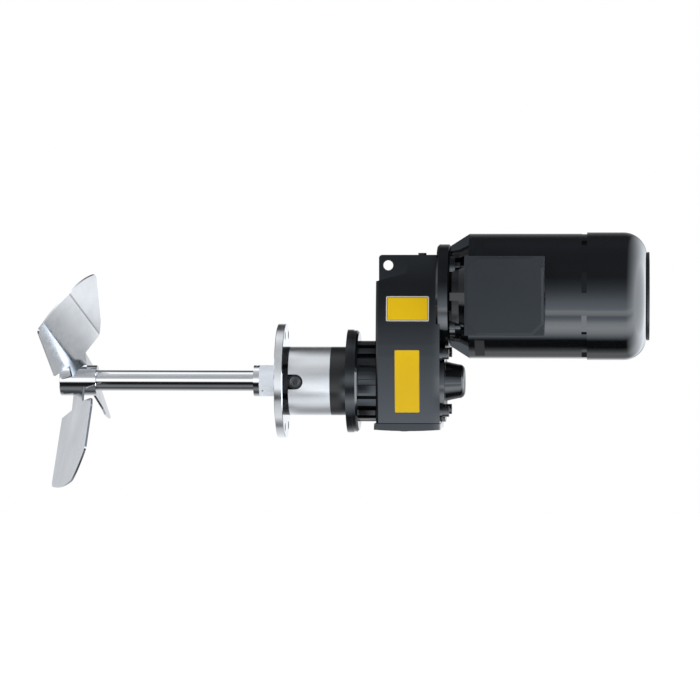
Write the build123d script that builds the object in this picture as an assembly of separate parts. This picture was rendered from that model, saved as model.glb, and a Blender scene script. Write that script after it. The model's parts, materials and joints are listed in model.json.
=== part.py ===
from build123d import *
import os
from math import acos, atan2, cos, degrees, pi, radians, sin, sqrt, tan

# Side entry tank mixer.  X runs along the mixer shaft, from the impeller (-X) to the
# gear unit and motor (+X); Z is up.  The origin is the centre of the tank flange's
# tank-side face.  All sizes are in millimetres.

# ---- clearances ----
RUN = 0.05             # radial, shaft running in a hole
SLIP = 0.02            # radial, parts slid together and locked
HOLE_GAP = 0.3         # radial, screw in its clearance hole
AIR = 0.4              # between parts that pass each other
SEAL_FILM = 0.05       # between the two faces of the shaft seal
BACKLASH = 0.16        # along the pitch circle, each gear pair
CUT = 1.0              # how far cutting tools and sunk joints run past a face

# ---- mixer shaft and impeller ----
SHAFT_D = 31.75
SHAFT_END_D = 30.0     # inside the hollow shaft of the gear unit
SHAFT_TIP_X = -338.4
SHAFT_END_GAP = 12.0   # shaft end inside the hollow shaft
HUB_D = 47.3
HUB_X0, HUB_X1 = -340.1, -282.8
HUB_EDGE = 0.8
BLADE_COUNT = 3
BLADE_X = -310.0       # plane in which the blades' pitch lines cross the shaft
BLADE_PITCH = 29.0     # degrees from the plane of rotation
BLADE_FIRST = 123.1    # degrees from +Y towards +Z
BLADE_T = 3.2
BLADE_R = 167.0        # reach of the tip arc
BLADE_LEAD_ROOT = (-17.2, 42.6)    # (chord, radius) where the leading root edge starts
BLADE_LEAD_LOW = (-55.6, 52.5)
BLADE_LEAD_MID = (-66.7, 69.8)
BLADE_LEAD_TOP = (-77.9, 149.2)
BLADE_TIP_MID = (6.0, BLADE_R)
BLADE_TRAIL_TIP = (90.7, 146.8)
BLADE_TRAIL_ROOT = (58.4, 42.9)
BLADE_TRAIL_TAB = (23.4, 42.4)     # inner corner between the blade and its tab
BLADE_TAB = (-17.2, 15.0)          # chord range of the tab at the hub
BLADE_CORNER = 8.0
BLADE_BEND_DIR = 29.4  # degrees between the bend lines and the radius
BLADE_BENDS = (-74.2, -8.6)        # distances of the bend lines from the pitch centre
BLADE_BEND_ANGLES = (11.2, 5.0)
BLADE_BEND_R = 30.0
KEY_FROM_STEP = 40.0   # key behind the step of the shaft
KEY_L = 50.0
KEY_SINK = 4.0         # key depth in the shaft
RETAINER_BOLT_D = 10.0
RETAINER_BOLT_L = 24.0
RETAINER_HEAD_D = 17.0
RETAINER_HEAD_L = 6.4
RETAINER_WASHER_D = 42.0
RETAINER_WASHER_T = 3.0

# ---- shaft seal ----
COLLAR_D = 48.4
COLLAR_X0, COLLAR_X1 = -37.8, -28.8
SLEEVE_X1 = 9.0
COLLAR_SCREW_D = 5.0
COLLAR_SCREW_SINK = 0.8
COLLAR_TURN = 12.0     # degrees of the set screws from the vertical
SEAT_T = 7.0
SEAT_OD = 46.0
SEAT_LAND = 2.0        # step that the seat rests against
LIP_SEAL_OD = 52.0
LIP_SEAL_T = 8.0

# ---- tank flange ----
FLANGE_D = 177.0
FLANGE_T = 12.7
FLANGE_PCD = 152.4
FLANGE_HOLE_COUNT = 8
FLANGE_HOLE_D = 13.0
FLANGE_EDGE = 0.8

# ---- seal gland and pedestal ----
GLAND_T = 6.1
GLAND_BARREL_D = 76.0
GLAND_BARREL_L = 44.0
PORT_X = 29.9          # port boss centre
PORT_BOSS_D = 22.4
PORT_PLUG_D = 17.1
PORT_PLUG_T = 9.0
PORT_SHOULDER = 3.0    # step under the plug
PORT_HEX = 8.5
PORT_SINK = 1.2        # depth of the boss and of the plug below the housing surface
NOTCH_W = 16.0         # notches in the gland rim behind four of the flange holes
NOTCH_R = 41.0         # radius of the notch floor
NOTCH_ANGLE = 22.5     # above and below the horizontal
HOUSING_D = 106.4
HOUSING_WALL = 10.6
HOUSING_L = 64.0
ADAPTER_L = 25.7
ADAPTER_LIP = 4.0      # shoulder beside the bearing
SPIGOT_IN = 6.0        # adapter spigot inside the housing
TIE_D = 6.0
TIE_COUNT = 4
TIE_FIRST = 45.0       # degrees from +Y
TIE_R = 46.5
TIE_HEAD_D = 10.0
TIE_HEAD_L = 6.0
TIE_SINK = 7.0         # depth of the counterbores
TIE_GRIP = 7.0         # length screwed into the tank flange

# ---- output flange of the gear unit ----
B5_D = 160.0           # standard flange of this size, here and at the motor
B5_PCD = 130.0
B5_SCREW_COUNT = 4
B5_SCREW_D = 8.0
B5_HEAD_D = 13.0
B5_HEAD_L = 8.0
ADAPTER_DISC_T = 9.5
ADAPTER_SINK = 5.5     # counterbores of the screws in the adapter disc
ADAPTER_HEAD_L = 5.0
GEAR_DISC_INSET = 1.25 # edge of the gear unit's flange inside that of the adapter
GEAR_DISC_D = B5_D - 2 * GEAR_DISC_INSET
GEAR_DISC_T = 8.2
GEAR_DISC_EDGE = 3.0
NECK_D = 125.0
NECK_CORE_D = 112.0
NECK_L = 28.6
NECK_RIB_COUNT = 18
NECK_RIB_W = 12.0

# ---- gearcase ----
CASE_L = 92.5
CASE_WALL = 7.0
CASE_TOP_Z = 195.5
FOOT_T = 11.2
FOOT_ABOVE = 3.9       # lowest point of the foot above that of the output flange
CASE_FOOT_Z = FOOT_ABOVE + FOOT_T - GEAR_DISC_D / 2
CASE_HALF_TOP = 48.0   # half widths of the case at its top, belly and foot
CASE_HALF_BELLY = 69.0
CASE_HALF_FOOT = 57.0
CASE_BELLY_Z = 82.0
CASE_EDGE = 4.0
SHOULDER_Z0, SHOULDER_Z1 = 155.0, 167.5    # sloping shoulder below the lifting web
SHOULDER_X = 46.0      # from the front of the case
SHOULDER_TOP_X = 53.0
WEB_T = 10.0
WEB_CORNER = 5.0
WEB_SETBACK = 1.5
EYE_D = 15.4
EYE_X, EYE_Z = 15.8, 179.3                 # from the front of the case, and up
FOOT_CROWN = 2.0
FOOT_FRONT, FOOT_REAR = 3.0, 6.5   # how far the foot stands out before and behind the case
FOOT_SIDE = 2.0
PLUG_D = 10.0          # breather and drain plugs
PLUG_HEX = 11.0
PLUG_HEAD_L = 3.0
BREATHER_BACK = 24.0   # in front of the rear face of the case
DRAIN_FRONT = 41.0     # behind the front face of the case

# ---- gears ----
MOTOR_Z = 131.75       # motor axis above the mixer shaft
PRESSURE_ANGLE = 20.0
MODULE_1, MODULE_2 = 2.0, 2.5      # first stage, second stage
PINION_1_TEETH_COUNT, WHEEL_1_TEETH_COUNT = 19, 43
PINION_2_TEETH_COUNT, WHEEL_2_TEETH_COUNT = 17, 41
WIDTH_1, WIDTH_2 = 18.0, 30.0
PINION_EXTRA = 2.0     # pinions are wider than their wheels by this much
HOLLOW_D = 45.0
HOLLOW_LEAD = 2.0      # how far the hollow shaft stands out of its flange
SPACER_D = 54.0
LAYSHAFT_D = 22.0
BEARING_BOSS = 5.0     # wall of the bearing bosses
OIL_SEAL_D = 72.0
OIL_SEAL_T = 8.0
LIP_STEP = 1.2         # front oil seal behind the face of the output flange
LAY_BEARING = (17.0, 40.0, 12.0)           # bore, outside diameter, width
OUT_BEARING = (45.0, 85.0, 19.0)
PEDESTAL_BEARING = (31.75, 62.0, 19.0)
MOTOR_BEARING = (25.0, 52.0, 15.0)
BEARING_STEP = 3.0     # front layshaft bearing ahead of the inside of the case wall
BEARING_SETBACK = 5.0  # rear output bearing ahead of the face of its boss
LAY_GAPS = (2.5, 6.0, 5.0)         # along the layshaft, between bearings and wheels
KEY_W, KEY_H = 8.0, 7.0

# ---- rear side of the gear unit ----
COVER_T = 5.6
BOSS_D = 126.0
BOSS_T = 7.2
CAP_D = 61.0
CAP_END_D = 52.5
CAP_L = 29.6
CAP_WALL = 2.5
CAP_ROUND = 9.0
COVER_SCREW_D = 10.0
COVER_HEAD_D = 16.0
COVER_HEAD_L = 10.0
COVER_GRIP = 14.0      # length of the screws in the case
COVER_PAD_D = 20.0     # pads under the screw heads, and bosses for the screws in the case
COVER_PAD_T = 4.0
COVER_SCREW_IN = 10.5  # centres of the cover and input screws inside the edge of the case
COVER_SCREW_Z = (-45.0, 43.5)      # heights of the cover screws
INPUT_SCREW_Z = 16.0   # screws of the input flange, above and below the motor axis
INPUT_SCREW_SINK = 11.0
INPUT_D = B5_D
INPUT_T = 20.8
INPUT_EDGE = 3.0
INPUT_BORE_D = 52.0
PINION_PASS_D = 44.0   # hole that the motor pinion passes through
LUG_GRIP = 14.0        # length of the motor screws in the input flange
COVER_CLEAR = 1.0      # bearing stands out of its boss by this much

# ---- motor ----
BELL_L = 38.4
BELL_D0, BELL_D1, BELL_D2 = 139.0, 145.0, 160.0    # at its face, waist and rim
BELL_WAIST_L = 14.0    # from its face to the waist
BELL_RIM_T = 9.5
BELL_WALL = 7.0
SPIGOT_L = 6.0
RIB_D0 = 155.6         # across the ribs at the input flange
RIB_W = 12.0
RIB_COUNT = 4
LUG_D = 30.0           # ears that take the flange screws
LUG_L = 8.0            # thickness under the heads of the flange screws
LUG_POCKET_D = 25.0    # pockets for the screw heads, open to the outside
LUG_POCKET_L = 14.0
LUG_WALL = 5.0
DRIVE_BEARING_SINK = 7.0
STATOR_D = 192.5
STATOR_L = 163.2
STATOR_WALL = 5.0
PAD_L = 14.8           # machined flats at the front edge of the stator housing
PAD_SINK = 2.75        # depth of the flats at their middle
PAD_ANGLES = (48.7, -58.0)         # degrees above the horizontal, on both sides
SHIELD_T = 8.0
SHIELD_SLOT_COUNT = 9
SHIELD_SLOT_FIRST = 127.0          # degrees from +Y towards +Z
SHIELD_SLOT_W = 32.0
SHIELD_SLOT_H = 5.4
SHIELD_BOSS_L = 15.0
REAR_BEARING_SINK = 7.0            # rear motor bearing into the outer face of the shield
COWL_RISE = 2.1        # how far the cowl stands out from the stator housing
COWL_D = STATOR_D + 2 * COWL_RISE
COWL_L = 91.8
COWL_ROUND = 36.0
COWL_WALL = 2.5
COWL_MOUTH_D = 112.0
GRILLE_D = 136.0
GRILLE_T = 3.9
GRILLE_RING_COUNT = 5
GRILLE_SPOKE_COUNT = 6
GRILLE_BAR = 4.5
CORE_BORE_D = 106.0
CORE_L = 100.0
CORE_X = 26.0          # from the front edge of the stator housing
WINDING_L = 20.0
WINDING_T = 14.0
WINDING_STEP = 4.5     # coil ends outside, and short-circuit rings inside, the bore
ROTOR_GAP = 0.5
MOTOR_SHAFT_D = 28.0
FAN_D = 156.0
FAN_PLATE_D = 110.0
FAN_SETBACK = 10.0     # fan behind the rear end shield
FAN_SEAT_D = 22.0
FAN_HUB_D = 36.0
END_RING_T = 8.0
FAN_BLADE_COUNT = 7
FAN_L = 34.0
FAN_T = 4.0

# ---- terminal box ----
BOX_X = 47.2           # centre behind the front edge of the stator housing
BOX_RISE = 1.9         # centre above the motor axis
BOX_SIZE = 120.0
BOX_DEPTH = 39.25      # in front of its back
BOX_WALL = 4.0
BOX_COVER_T = 7.0
BOX_GASKET_T = 1.5
BOX_GASKET_INSET = 1.0
BOX_CHAMFER = 15.5     # corners of the raised field
BOX_EDGE = 0.8         # rim of the cover round the foot of the field
BOX_FIELD_INSET = 3.2
BOX_FIELD_RISE = 1.6
BOX_BACK_T = 4.0       # thinnest part of the saddle under the box
BOX_SADDLE_L = 48.0    # how far the saddle reaches round the housing
BOX_LEAD_D = 36.0      # hole for the leads
BLOCK_W, BLOCK_H, BLOCK_T = 62.0, 34.0, 16.0
BLOCK_DROP = 36.0      # centre of the terminal block below the motor axis
STUD_D = 5.0
STUD_L = 10.0
STUD_PITCH_X, STUD_PITCH_Z = 20.0, 17.0
ENTRY_PLUG_D = 22.0
ENTRY_PLUG_PITCH = 30.0
ENTRY_HEAD_D = 27.0
ENTRY_HEAD_T = 1.0
ENTRY_DEPTH = 18.0     # cable entries behind the open side of the box

# ---- stations worked out from the sizes above ----
GLAND_X = FLANGE_T
HOUSING_X = GLAND_X + GLAND_T
ADAPTER_X = HOUSING_X + HOUSING_L
DISC_X = ADAPTER_X + ADAPTER_L
GEAR_DISC_X = DISC_X + ADAPTER_DISC_T
NECK_X = GEAR_DISC_X + GEAR_DISC_T
CASE_X = NECK_X + NECK_L
CASE_X1 = CASE_X + CASE_L
COVER_X1 = CASE_X1 + COVER_T
BOSS_X1 = COVER_X1 + BOSS_T
INPUT_X1 = CASE_X1 + INPUT_T
STATOR_X = INPUT_X1 + BELL_L
STATOR_X1 = STATOR_X + STATOR_L
COWL_X = STATOR_X1 + SHIELD_T
COWL_X1 = COWL_X + COWL_L

OUT = (0.0, 0.0)
MOTOR = (0.0, MOTOR_Z)
CENTRES_1 = MODULE_1 * (PINION_1_TEETH_COUNT + WHEEL_1_TEETH_COUNT) / 2
CENTRES_2 = MODULE_2 * (PINION_2_TEETH_COUNT + WHEEL_2_TEETH_COUNT) / 2
LAY_Z = (CENTRES_2**2 - CENTRES_1**2 + MOTOR_Z**2) / (2 * MOTOR_Z)
LAY = (sqrt(CENTRES_2**2 - LAY_Z**2), LAY_Z)

LAY_FRONT_X = CASE_X + CASE_WALL - BEARING_STEP
WHEEL_2_X = LAY_FRONT_X + LAY_BEARING[2] + LAY_GAPS[0]
WHEEL_1_X = WHEEL_2_X + WIDTH_2 + LAY_GAPS[1]
LAY_REAR_X = WHEEL_1_X + WIDTH_1 + LAY_GAPS[2]
OUT_FRONT_X = GEAR_DISC_X + OIL_SEAL_T + LIP_STEP
OUT_REAR_X = BOSS_X1 - BEARING_SETBACK - OUT_BEARING[2]
HOLLOW_X0, HOLLOW_X1 = GEAR_DISC_X - HOLLOW_LEAD, BOSS_X1 - HOLLOW_LEAD
SHAFT_STEP_X = HOLLOW_X0
SHAFT_REAR_X = HOLLOW_X1 - SHAFT_END_GAP
KEY_X0 = SHAFT_STEP_X + KEY_FROM_STEP
KEY_X1 = KEY_X0 + KEY_L
DRIVE_BEARING_X = INPUT_X1 + DRIVE_BEARING_SINK
REAR_BEARING_X = STATOR_X1 + REAR_BEARING_SINK - MOTOR_BEARING[2]
CORE_X0 = STATOR_X + CORE_X
CORE_X1 = CORE_X0 + CORE_L
FAN_X = COWL_X + FAN_SETBACK
BREATHER_X = CASE_X1 - BREATHER_BACK
DRAIN_X = CASE_X + DRAIN_FRONT
BOX_CENTRE = (STATOR_X + BOX_X, 0.0, MOTOR_Z + BOX_RISE)
BOX_BACK_Y = -(STATOR_D / 2 + BOX_BACK_T)
BOX_FRONT_Y = BOX_BACK_Y - BOX_DEPTH       # face of the cover
BOX_OPEN_Y = BOX_FRONT_Y + BOX_COVER_T + BOX_GASKET_T
PINION_1_X = WHEEL_1_X - PINION_EXTRA / 2
PINION_2_X = WHEEL_2_X - PINION_EXTRA / 2


# ---- shared shapes ----
def rod(x0, x1, radius, at=OUT):
    """Cylinder along X between two stations, centred on (y, z)."""
    return Pos(x0, *at) * extrude(Plane.YZ * Circle(radius), x1 - x0)


def ring(x0, x1, outer, inner, at=OUT):
    """Round ring along X between two stations, centred on (y, z)."""
    return Pos(x0, *at) * extrude(Plane.YZ * (Circle(outer) - Circle(inner)), x1 - x0)


def turned(points, at=OUT):
    """Solid of revolution about an X axis, from (x, radius) points."""
    face = make_face(Polyline(*points, close=True))
    return Pos(0, *at) * revolve(face, Axis.X)


def around(count, first=0.0, at=OUT):
    """Places round an X axis, at equal angles from first (degrees from +Y to +Z)."""
    return [Pos(0, *at) * Rot(first + 360 * n / count, 0, 0) for n in range(count)]


def hexagon(x0, x1, across, at=OUT):
    """Hexagonal bar along X, by its size across flats."""
    face = Plane.YZ * RegularPolygon(across / 2, 6, major_radius=False)
    return Pos(x0, *at) * extrude(face, x1 - x0)


def socket_screw(x_head, x_tip, shank_d, head_d, head_l, radius):
    """Socket head screw along X at a radius on +Y; its tip points away from the head."""
    side = 1 if x_head > x_tip else -1
    head = rod(*sorted((x_head, x_head + side * head_l)), head_d / 2)
    socket_depth = head_l / 2
    socket = hexagon(*sorted((x_head + side * (head_l - socket_depth), x_head + side * head_l)),
                     shank_d * 0.8)
    shank = rod(*sorted((x_head, x_tip)), shank_d / 2)
    return Pos(0, radius, 0) * (head + shank - socket)


def group(shapes, places):
    """One node made of the same solid at several places."""
    return Compound(children=[place * shape for place in places for shape in shapes])


def bearing_rings(bearing, x0, at=OUT):
    """Outer and inner ring of a sealed ball bearing; the seals are part of the outer."""
    bore, outside, width = bearing
    middle = bore / 2 + (outside - bore) / 7
    outer = ring(x0, x0 + width, outside / 2, middle + AIR, at)
    inner = ring(x0, x0 + width, middle, bore / 2, at)
    return outer, inner


# ---- gears ----
def involute(angle):
    """Involute function of an angle in radians."""
    return tan(angle) - angle


def gear_outline(module, teeth):
    """Outline points of a spur gear whose first tooth is centred on +Y."""
    pitch = module * teeth / 2
    pressure = radians(PRESSURE_ANGLE)
    base = pitch * cos(pressure)
    tip, root = pitch + module, pitch - 1.25 * module
    half_pitch = (pi * module / 2 - BACKLASH / 2) / 2 / pitch

    def half_angle(radius):
        reach = acos(min(1.0, base / radius))
        return half_pitch + involute(pressure) - involute(reach)

    flank = [max(root, base), (max(root, base) + pitch) / 2, pitch, (pitch + tip) / 2, tip]
    side = [(radius, half_angle(radius)) for radius in flank]
    if root < base:
        side.insert(0, (root, half_angle(base)))
    tooth = [(r, -a) for r, a in side] + [(r, a) for r, a in reversed(side)]
    points = []
    for n in range(teeth):
        centre = 2 * pi * n / teeth
        points += [(r * cos(centre + a), r * sin(centre + a)) for r, a in tooth]
    return points


def gear(module, teeth, x0, width, at, first, bore):
    """Spur gear along X whose first tooth points in direction first (radians)."""
    face = make_face(Polyline(*gear_outline(module, teeth), close=True))
    if bore:
        face -= Circle(bore / 2)
    return Pos(x0, *at) * Rot(degrees(first), 0, 0) * extrude(Plane.YZ * face, width)


def towards(start, end):
    """Direction from one axis to another, in radians from +Y towards +Z."""
    return atan2(end[1] - start[1], end[0] - start[0])


# ---- impeller ----
def blade_outline():
    """Flat pattern of a blade: X chordwise, Y radial."""
    tab0, tab1 = [(chord, 0) for chord in BLADE_TAB]
    lead = Polyline(BLADE_LEAD_LOW, BLADE_LEAD_MID, BLADE_LEAD_TOP)
    tip = ThreePointArc(BLADE_LEAD_TOP, BLADE_TIP_MID, BLADE_TRAIL_TIP)
    root = Polyline(BLADE_TRAIL_TIP, BLADE_TRAIL_ROOT, BLADE_TRAIL_TAB, tab1, tab0, BLADE_LEAD_ROOT,
                    BLADE_LEAD_LOW)
    outline = make_face(lead + tip + root)
    corners = [v for v in outline.vertices() if v.Y > BLADE_TRAIL_ROOT[1] + CUT]
    return fillet(corners, BLADE_CORNER)


def bent_sheet():
    """Endless sheet with the two soft bends of a blade; the bend lines run along Y."""
    low, high = BLADE_BENDS
    reach = 2 * BLADE_R
    fall_low, fall_high = (tan(radians(angle)) * reach for angle in BLADE_BEND_ANGLES)
    line = FilletPolyline((low - reach, fall_low), (low, 0), (high, 0), (high + reach, fall_high),
                          radius=BLADE_BEND_R)
    return extrude(Plane.XZ * trace(line, BLADE_T), 2 * BLADE_R, both=True)


def blade(number):
    """One impeller blade, bent, pitched and turned to its place, and cut to the hub."""
    pitch = radians(BLADE_PITCH)
    frame = Plane((BLADE_X, 0, 0), x_dir=(-sin(pitch), 0, cos(pitch)),
                  z_dir=(-cos(pitch), 0, -sin(pitch)))
    plate = extrude(blade_outline(), BLADE_R, both=True) & Rot(0, 0, -BLADE_BEND_DIR) * bent_sheet()
    turn = Rot(BLADE_FIRST + 360 * number / BLADE_COUNT, 0, 0)
    return turn * frame.location * plate - rod(2 * HUB_X0, 0, HUB_D / 2)


def impeller_hub():
    """Plain turned hub that the blades are welded to."""
    radius, bore, edge = HUB_D / 2, SHAFT_D / 2 + SLIP, HUB_EDGE
    return turned([(HUB_X0, bore), (HUB_X0, radius - edge), (HUB_X0 + edge, radius),
                   (HUB_X1 - edge, radius), (HUB_X1, radius - edge), (HUB_X1, bore)])


def mixer_shaft():
    """Overhung shaft, stepped down where it slides into the hollow shaft."""
    body = turned([(SHAFT_TIP_X, 0), (SHAFT_TIP_X, SHAFT_D / 2), (SHAFT_STEP_X, SHAFT_D / 2),
                   (SHAFT_STEP_X, SHAFT_END_D / 2), (SHAFT_REAR_X, SHAFT_END_D / 2), (SHAFT_REAR_X, 0)])
    keyway = Pos((KEY_X0 + KEY_X1) / 2, 0, SHAFT_END_D / 2) * Box(KEY_X1 - KEY_X0, KEY_W, 2 * KEY_SINK)
    tapped = rod(SHAFT_REAR_X - RETAINER_BOLT_L, SHAFT_REAR_X, RETAINER_BOLT_D / 2)
    return body - keyway - tapped


def shaft_key():
    """Parallel key between the mixer shaft and the hollow shaft."""
    return Pos((KEY_X0 + KEY_X1) / 2, 0, SHAFT_END_D / 2 - KEY_SINK + KEY_H / 2) * Box(
        KEY_X1 - KEY_X0, KEY_W, KEY_H)


def shaft_retainer():
    """Washer-faced bolt that draws the mixer shaft into the hollow shaft."""
    washer = rod(HOLLOW_X1, HOLLOW_X1 + RETAINER_WASHER_T, RETAINER_WASHER_D / 2)
    head_x = HOLLOW_X1 + RETAINER_WASHER_T
    head = hexagon(head_x, head_x + RETAINER_HEAD_L, RETAINER_HEAD_D)
    return washer + head + rod(SHAFT_REAR_X - RETAINER_BOLT_L, HOLLOW_X1, RETAINER_BOLT_D / 2)


# ---- shaft seal ----
def seal_collar():
    """Clamping collar in front of the rotating seal head."""
    collar = ring(COLLAR_X0, COLLAR_X1, COLLAR_D / 2, SHAFT_D / 2 + SLIP)
    middle = Pos((COLLAR_X0 + COLLAR_X1) / 2, 0, 0)
    return collar - Rot(COLLAR_TURN, 0, 0) * middle * Cylinder(COLLAR_SCREW_D / 2, COLLAR_D)


def collar_screws():
    """Set screws in the collar, standing a little below its rim."""
    length = (COLLAR_D - SHAFT_D) / 2 - SLIP - COLLAR_SCREW_SINK
    middle = SHAFT_D / 2 + SLIP + length / 2
    place = Pos((COLLAR_X0 + COLLAR_X1) / 2, 0, 0)
    turn = Rot(COLLAR_TURN, 0, 0)
    return Compound(children=[turn * place * Pos(0, 0, side * middle)
                              * Cylinder(COLLAR_SCREW_D / 2, length) for side in (1, -1)])


def seal_sleeve():
    """Rotating seal head that enters the tank flange; its rear face is a sealing face."""
    return ring(COLLAR_X1, SLEEVE_X1, COLLAR_D / 2, SHAFT_D / 2 + SLIP)


def seal_seat():
    """Stationary seat ring held in the gland."""
    x0 = SLEEVE_X1 + SEAL_FILM
    return ring(x0, x0 + SEAT_T, SEAT_OD / 2, SHAFT_D / 2 + AIR)


def lip_seal():
    """Lip seal at the dry end of the gland barrel."""
    x1 = GLAND_X + GLAND_BARREL_L
    return ring(x1 - LIP_SEAL_T, x1, LIP_SEAL_OD / 2, SHAFT_D / 2 + RUN)


# ---- tank flange ----
def tank_flange():
    """Bolting flange; the holes straddle the vertical and horizontal centre lines."""
    radius, edge, bore = FLANGE_D / 2, FLANGE_EDGE, COLLAR_D / 2 + AIR
    plate = turned([(0, bore), (0, radius - edge), (edge, radius), (FLANGE_T - edge, radius),
                    (FLANGE_T, radius - edge), (FLANGE_T, bore)])
    holes = [place * Pos(0, FLANGE_PCD / 2, 0) * rod(-CUT, FLANGE_T + CUT, FLANGE_HOLE_D / 2)
             for place in around(FLANGE_HOLE_COUNT, 180 / FLANGE_HOLE_COUNT)]
    taps = [place * Pos(0, TIE_R, 0) * rod(FLANGE_T - TIE_GRIP, FLANGE_T + CUT, TIE_D / 2)
            for place in around(TIE_COUNT, TIE_FIRST)]
    return plate - holes - taps


# ---- seal gland and pedestal ----
def port_places():
    """Frames of the two flush ports; their Z points out, towards -Y and +Y."""
    return [Pos(PORT_X, 0, 0) * Rot(turn, 0, 0) for turn in (90, -90)]


def seal_gland():
    """Gland: notched rim, barrel inside the housing and two radial flush ports."""
    barrel_r = GLAND_BARREL_D / 2
    step_x = SLEEVE_X1 + SEAL_FILM + SEAT_T
    chamber_r = SEAT_OD / 2 - SEAT_LAND
    end_x = GLAND_X + GLAND_BARREL_L
    body = turned([(GLAND_X, SEAT_OD / 2), (GLAND_X, HOUSING_D / 2), (HOUSING_X, HOUSING_D / 2),
                   (HOUSING_X, barrel_r), (end_x, barrel_r), (end_x, LIP_SEAL_OD / 2),
                   (end_x - LIP_SEAL_T, LIP_SEAL_OD / 2), (end_x - LIP_SEAL_T, chamber_r),
                   (step_x, chamber_r), (step_x, SEAT_OD / 2)])
    port_r = HOUSING_D / 2 - PORT_SINK
    for port in port_places():
        body += port * Pos(0, 0, chamber_r + CUT) * extrude(Circle(PORT_BOSS_D / 2),
                                                          port_r - chamber_r - CUT)
    body -= rod(step_x, end_x - LIP_SEAL_T, chamber_r)
    for port in port_places():
        body -= port * extrude(Circle(PORT_PLUG_D / 2 - PORT_SHOULDER), port_r)
        body -= port * Pos(0, 0, port_r - PORT_SINK - PORT_PLUG_T) * Cylinder(
            PORT_PLUG_D / 2, 2 * PORT_PLUG_T, align=(Align.CENTER, Align.CENTER, Align.MIN))
    notch = Box(3 * GLAND_T, HOUSING_D, NOTCH_W, align=(Align.CENTER, Align.MIN, Align.CENTER))
    for angle in (NOTCH_ANGLE, -NOTCH_ANGLE, 180 - NOTCH_ANGLE, 180 + NOTCH_ANGLE):
        body -= Pos(GLAND_X - GLAND_T / 2, 0, 0) * Rot(angle, 0, 0) * Pos(0, NOTCH_R, 0) * notch
    return body - tie_holes(GLAND_X, HOUSING_X)


def tie_holes(x0, x1):
    """Clearance holes for the tie screws between two stations."""
    radius = TIE_D / 2 + HOLE_GAP
    return [place * Pos(0, TIE_R, 0) * rod(x0 - CUT, x1 + CUT, radius)
            for place in around(TIE_COUNT, TIE_FIRST)]


def flush_port_plugs():
    """Two hexagon socket pipe plugs that close the flush ports."""
    plug = extrude(Circle(PORT_PLUG_D / 2), PORT_PLUG_T)
    plug -= Pos(0, 0, PORT_PLUG_T / 2) * extrude(
        RegularPolygon(PORT_HEX / 2, 6, major_radius=False), PORT_PLUG_T)
    seat = HOUSING_D / 2 - 2 * PORT_SINK - PORT_PLUG_T
    return group([Pos(0, 0, seat) * plug], port_places())


def pedestal_housing():
    """Open-sided sleeve round the gland, with a U slot for each flush port."""
    housing = ring(HOUSING_X, ADAPTER_X, HOUSING_D / 2, HOUSING_D / 2 - HOUSING_WALL)
    width = PORT_BOSS_D + 2 * AIR
    slot = Rot(90, 0, 0) * extrude(Circle(width / 2) + Pos(-PORT_X / 2, 0) * Rectangle(PORT_X, width),
                                   HOUSING_D, both=True)
    return housing - Pos(PORT_X, 0, 0) * slot - tie_holes(HOUSING_X, ADAPTER_X)


def pedestal_adapter():
    """Black ring and disc that join the pedestal to the gear unit and hold the bearing."""
    bore, outside, width = PEDESTAL_BEARING
    shoulder_x = ADAPTER_X + ADAPTER_LIP
    spigot_r = HOUSING_D / 2 - HOUSING_WALL - SLIP
    body = turned([(ADAPTER_X - SPIGOT_IN, outside / 2 - ADAPTER_LIP), (ADAPTER_X - SPIGOT_IN, spigot_r),
                   (ADAPTER_X, spigot_r), (ADAPTER_X, HOUSING_D / 2), (DISC_X, HOUSING_D / 2),
                   (DISC_X, B5_D / 2), (GEAR_DISC_X, B5_D / 2), (GEAR_DISC_X, outside / 2),
                   (shoulder_x, outside / 2), (shoulder_x, outside / 2 - ADAPTER_LIP)])
    head_r = TIE_HEAD_D / 2 + HOLE_GAP
    for place in around(TIE_COUNT, TIE_FIRST):
        body -= place * Pos(0, TIE_R, 0) * rod(GEAR_DISC_X - TIE_SINK, GEAR_DISC_X + CUT, head_r)
    for place in b5_places():
        body -= place * Pos(0, B5_PCD / 2, 0) * rod(DISC_X, GEAR_DISC_X, B5_SCREW_D / 2 + HOLE_GAP)
        body -= place * Pos(0, B5_PCD / 2, 0) * rod(DISC_X - CUT, DISC_X + ADAPTER_SINK,
                                                    B5_HEAD_D / 2 + HOLE_GAP)
    return body - tie_holes(ADAPTER_X, GEAR_DISC_X)


def pedestal_tie_screws():
    """Long screws through adapter, housing and gland into the tank flange."""
    head_x = GEAR_DISC_X - TIE_SINK
    screw = socket_screw(head_x, FLANGE_T - TIE_GRIP, TIE_D, TIE_HEAD_D, TIE_HEAD_L, TIE_R)
    return group([screw], around(TIE_COUNT, TIE_FIRST))


def b5_places():
    """Frames of the screws between the adapter and the gear unit."""
    return around(B5_SCREW_COUNT, 180 / B5_SCREW_COUNT)


def adapter_screws():
    """Low head socket screws, sunk in the adapter disc, that hold it to the gear unit."""
    screw = socket_screw(DISC_X + ADAPTER_SINK, NECK_X, B5_SCREW_D, B5_HEAD_D, ADAPTER_HEAD_L,
                         B5_PCD / 2)
    return group([screw], b5_places())


def pedestal_bearing():
    """Outer and inner ring of the bearing beside the seal."""
    return bearing_rings(PEDESTAL_BEARING, ADAPTER_X + ADAPTER_LIP)


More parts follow.
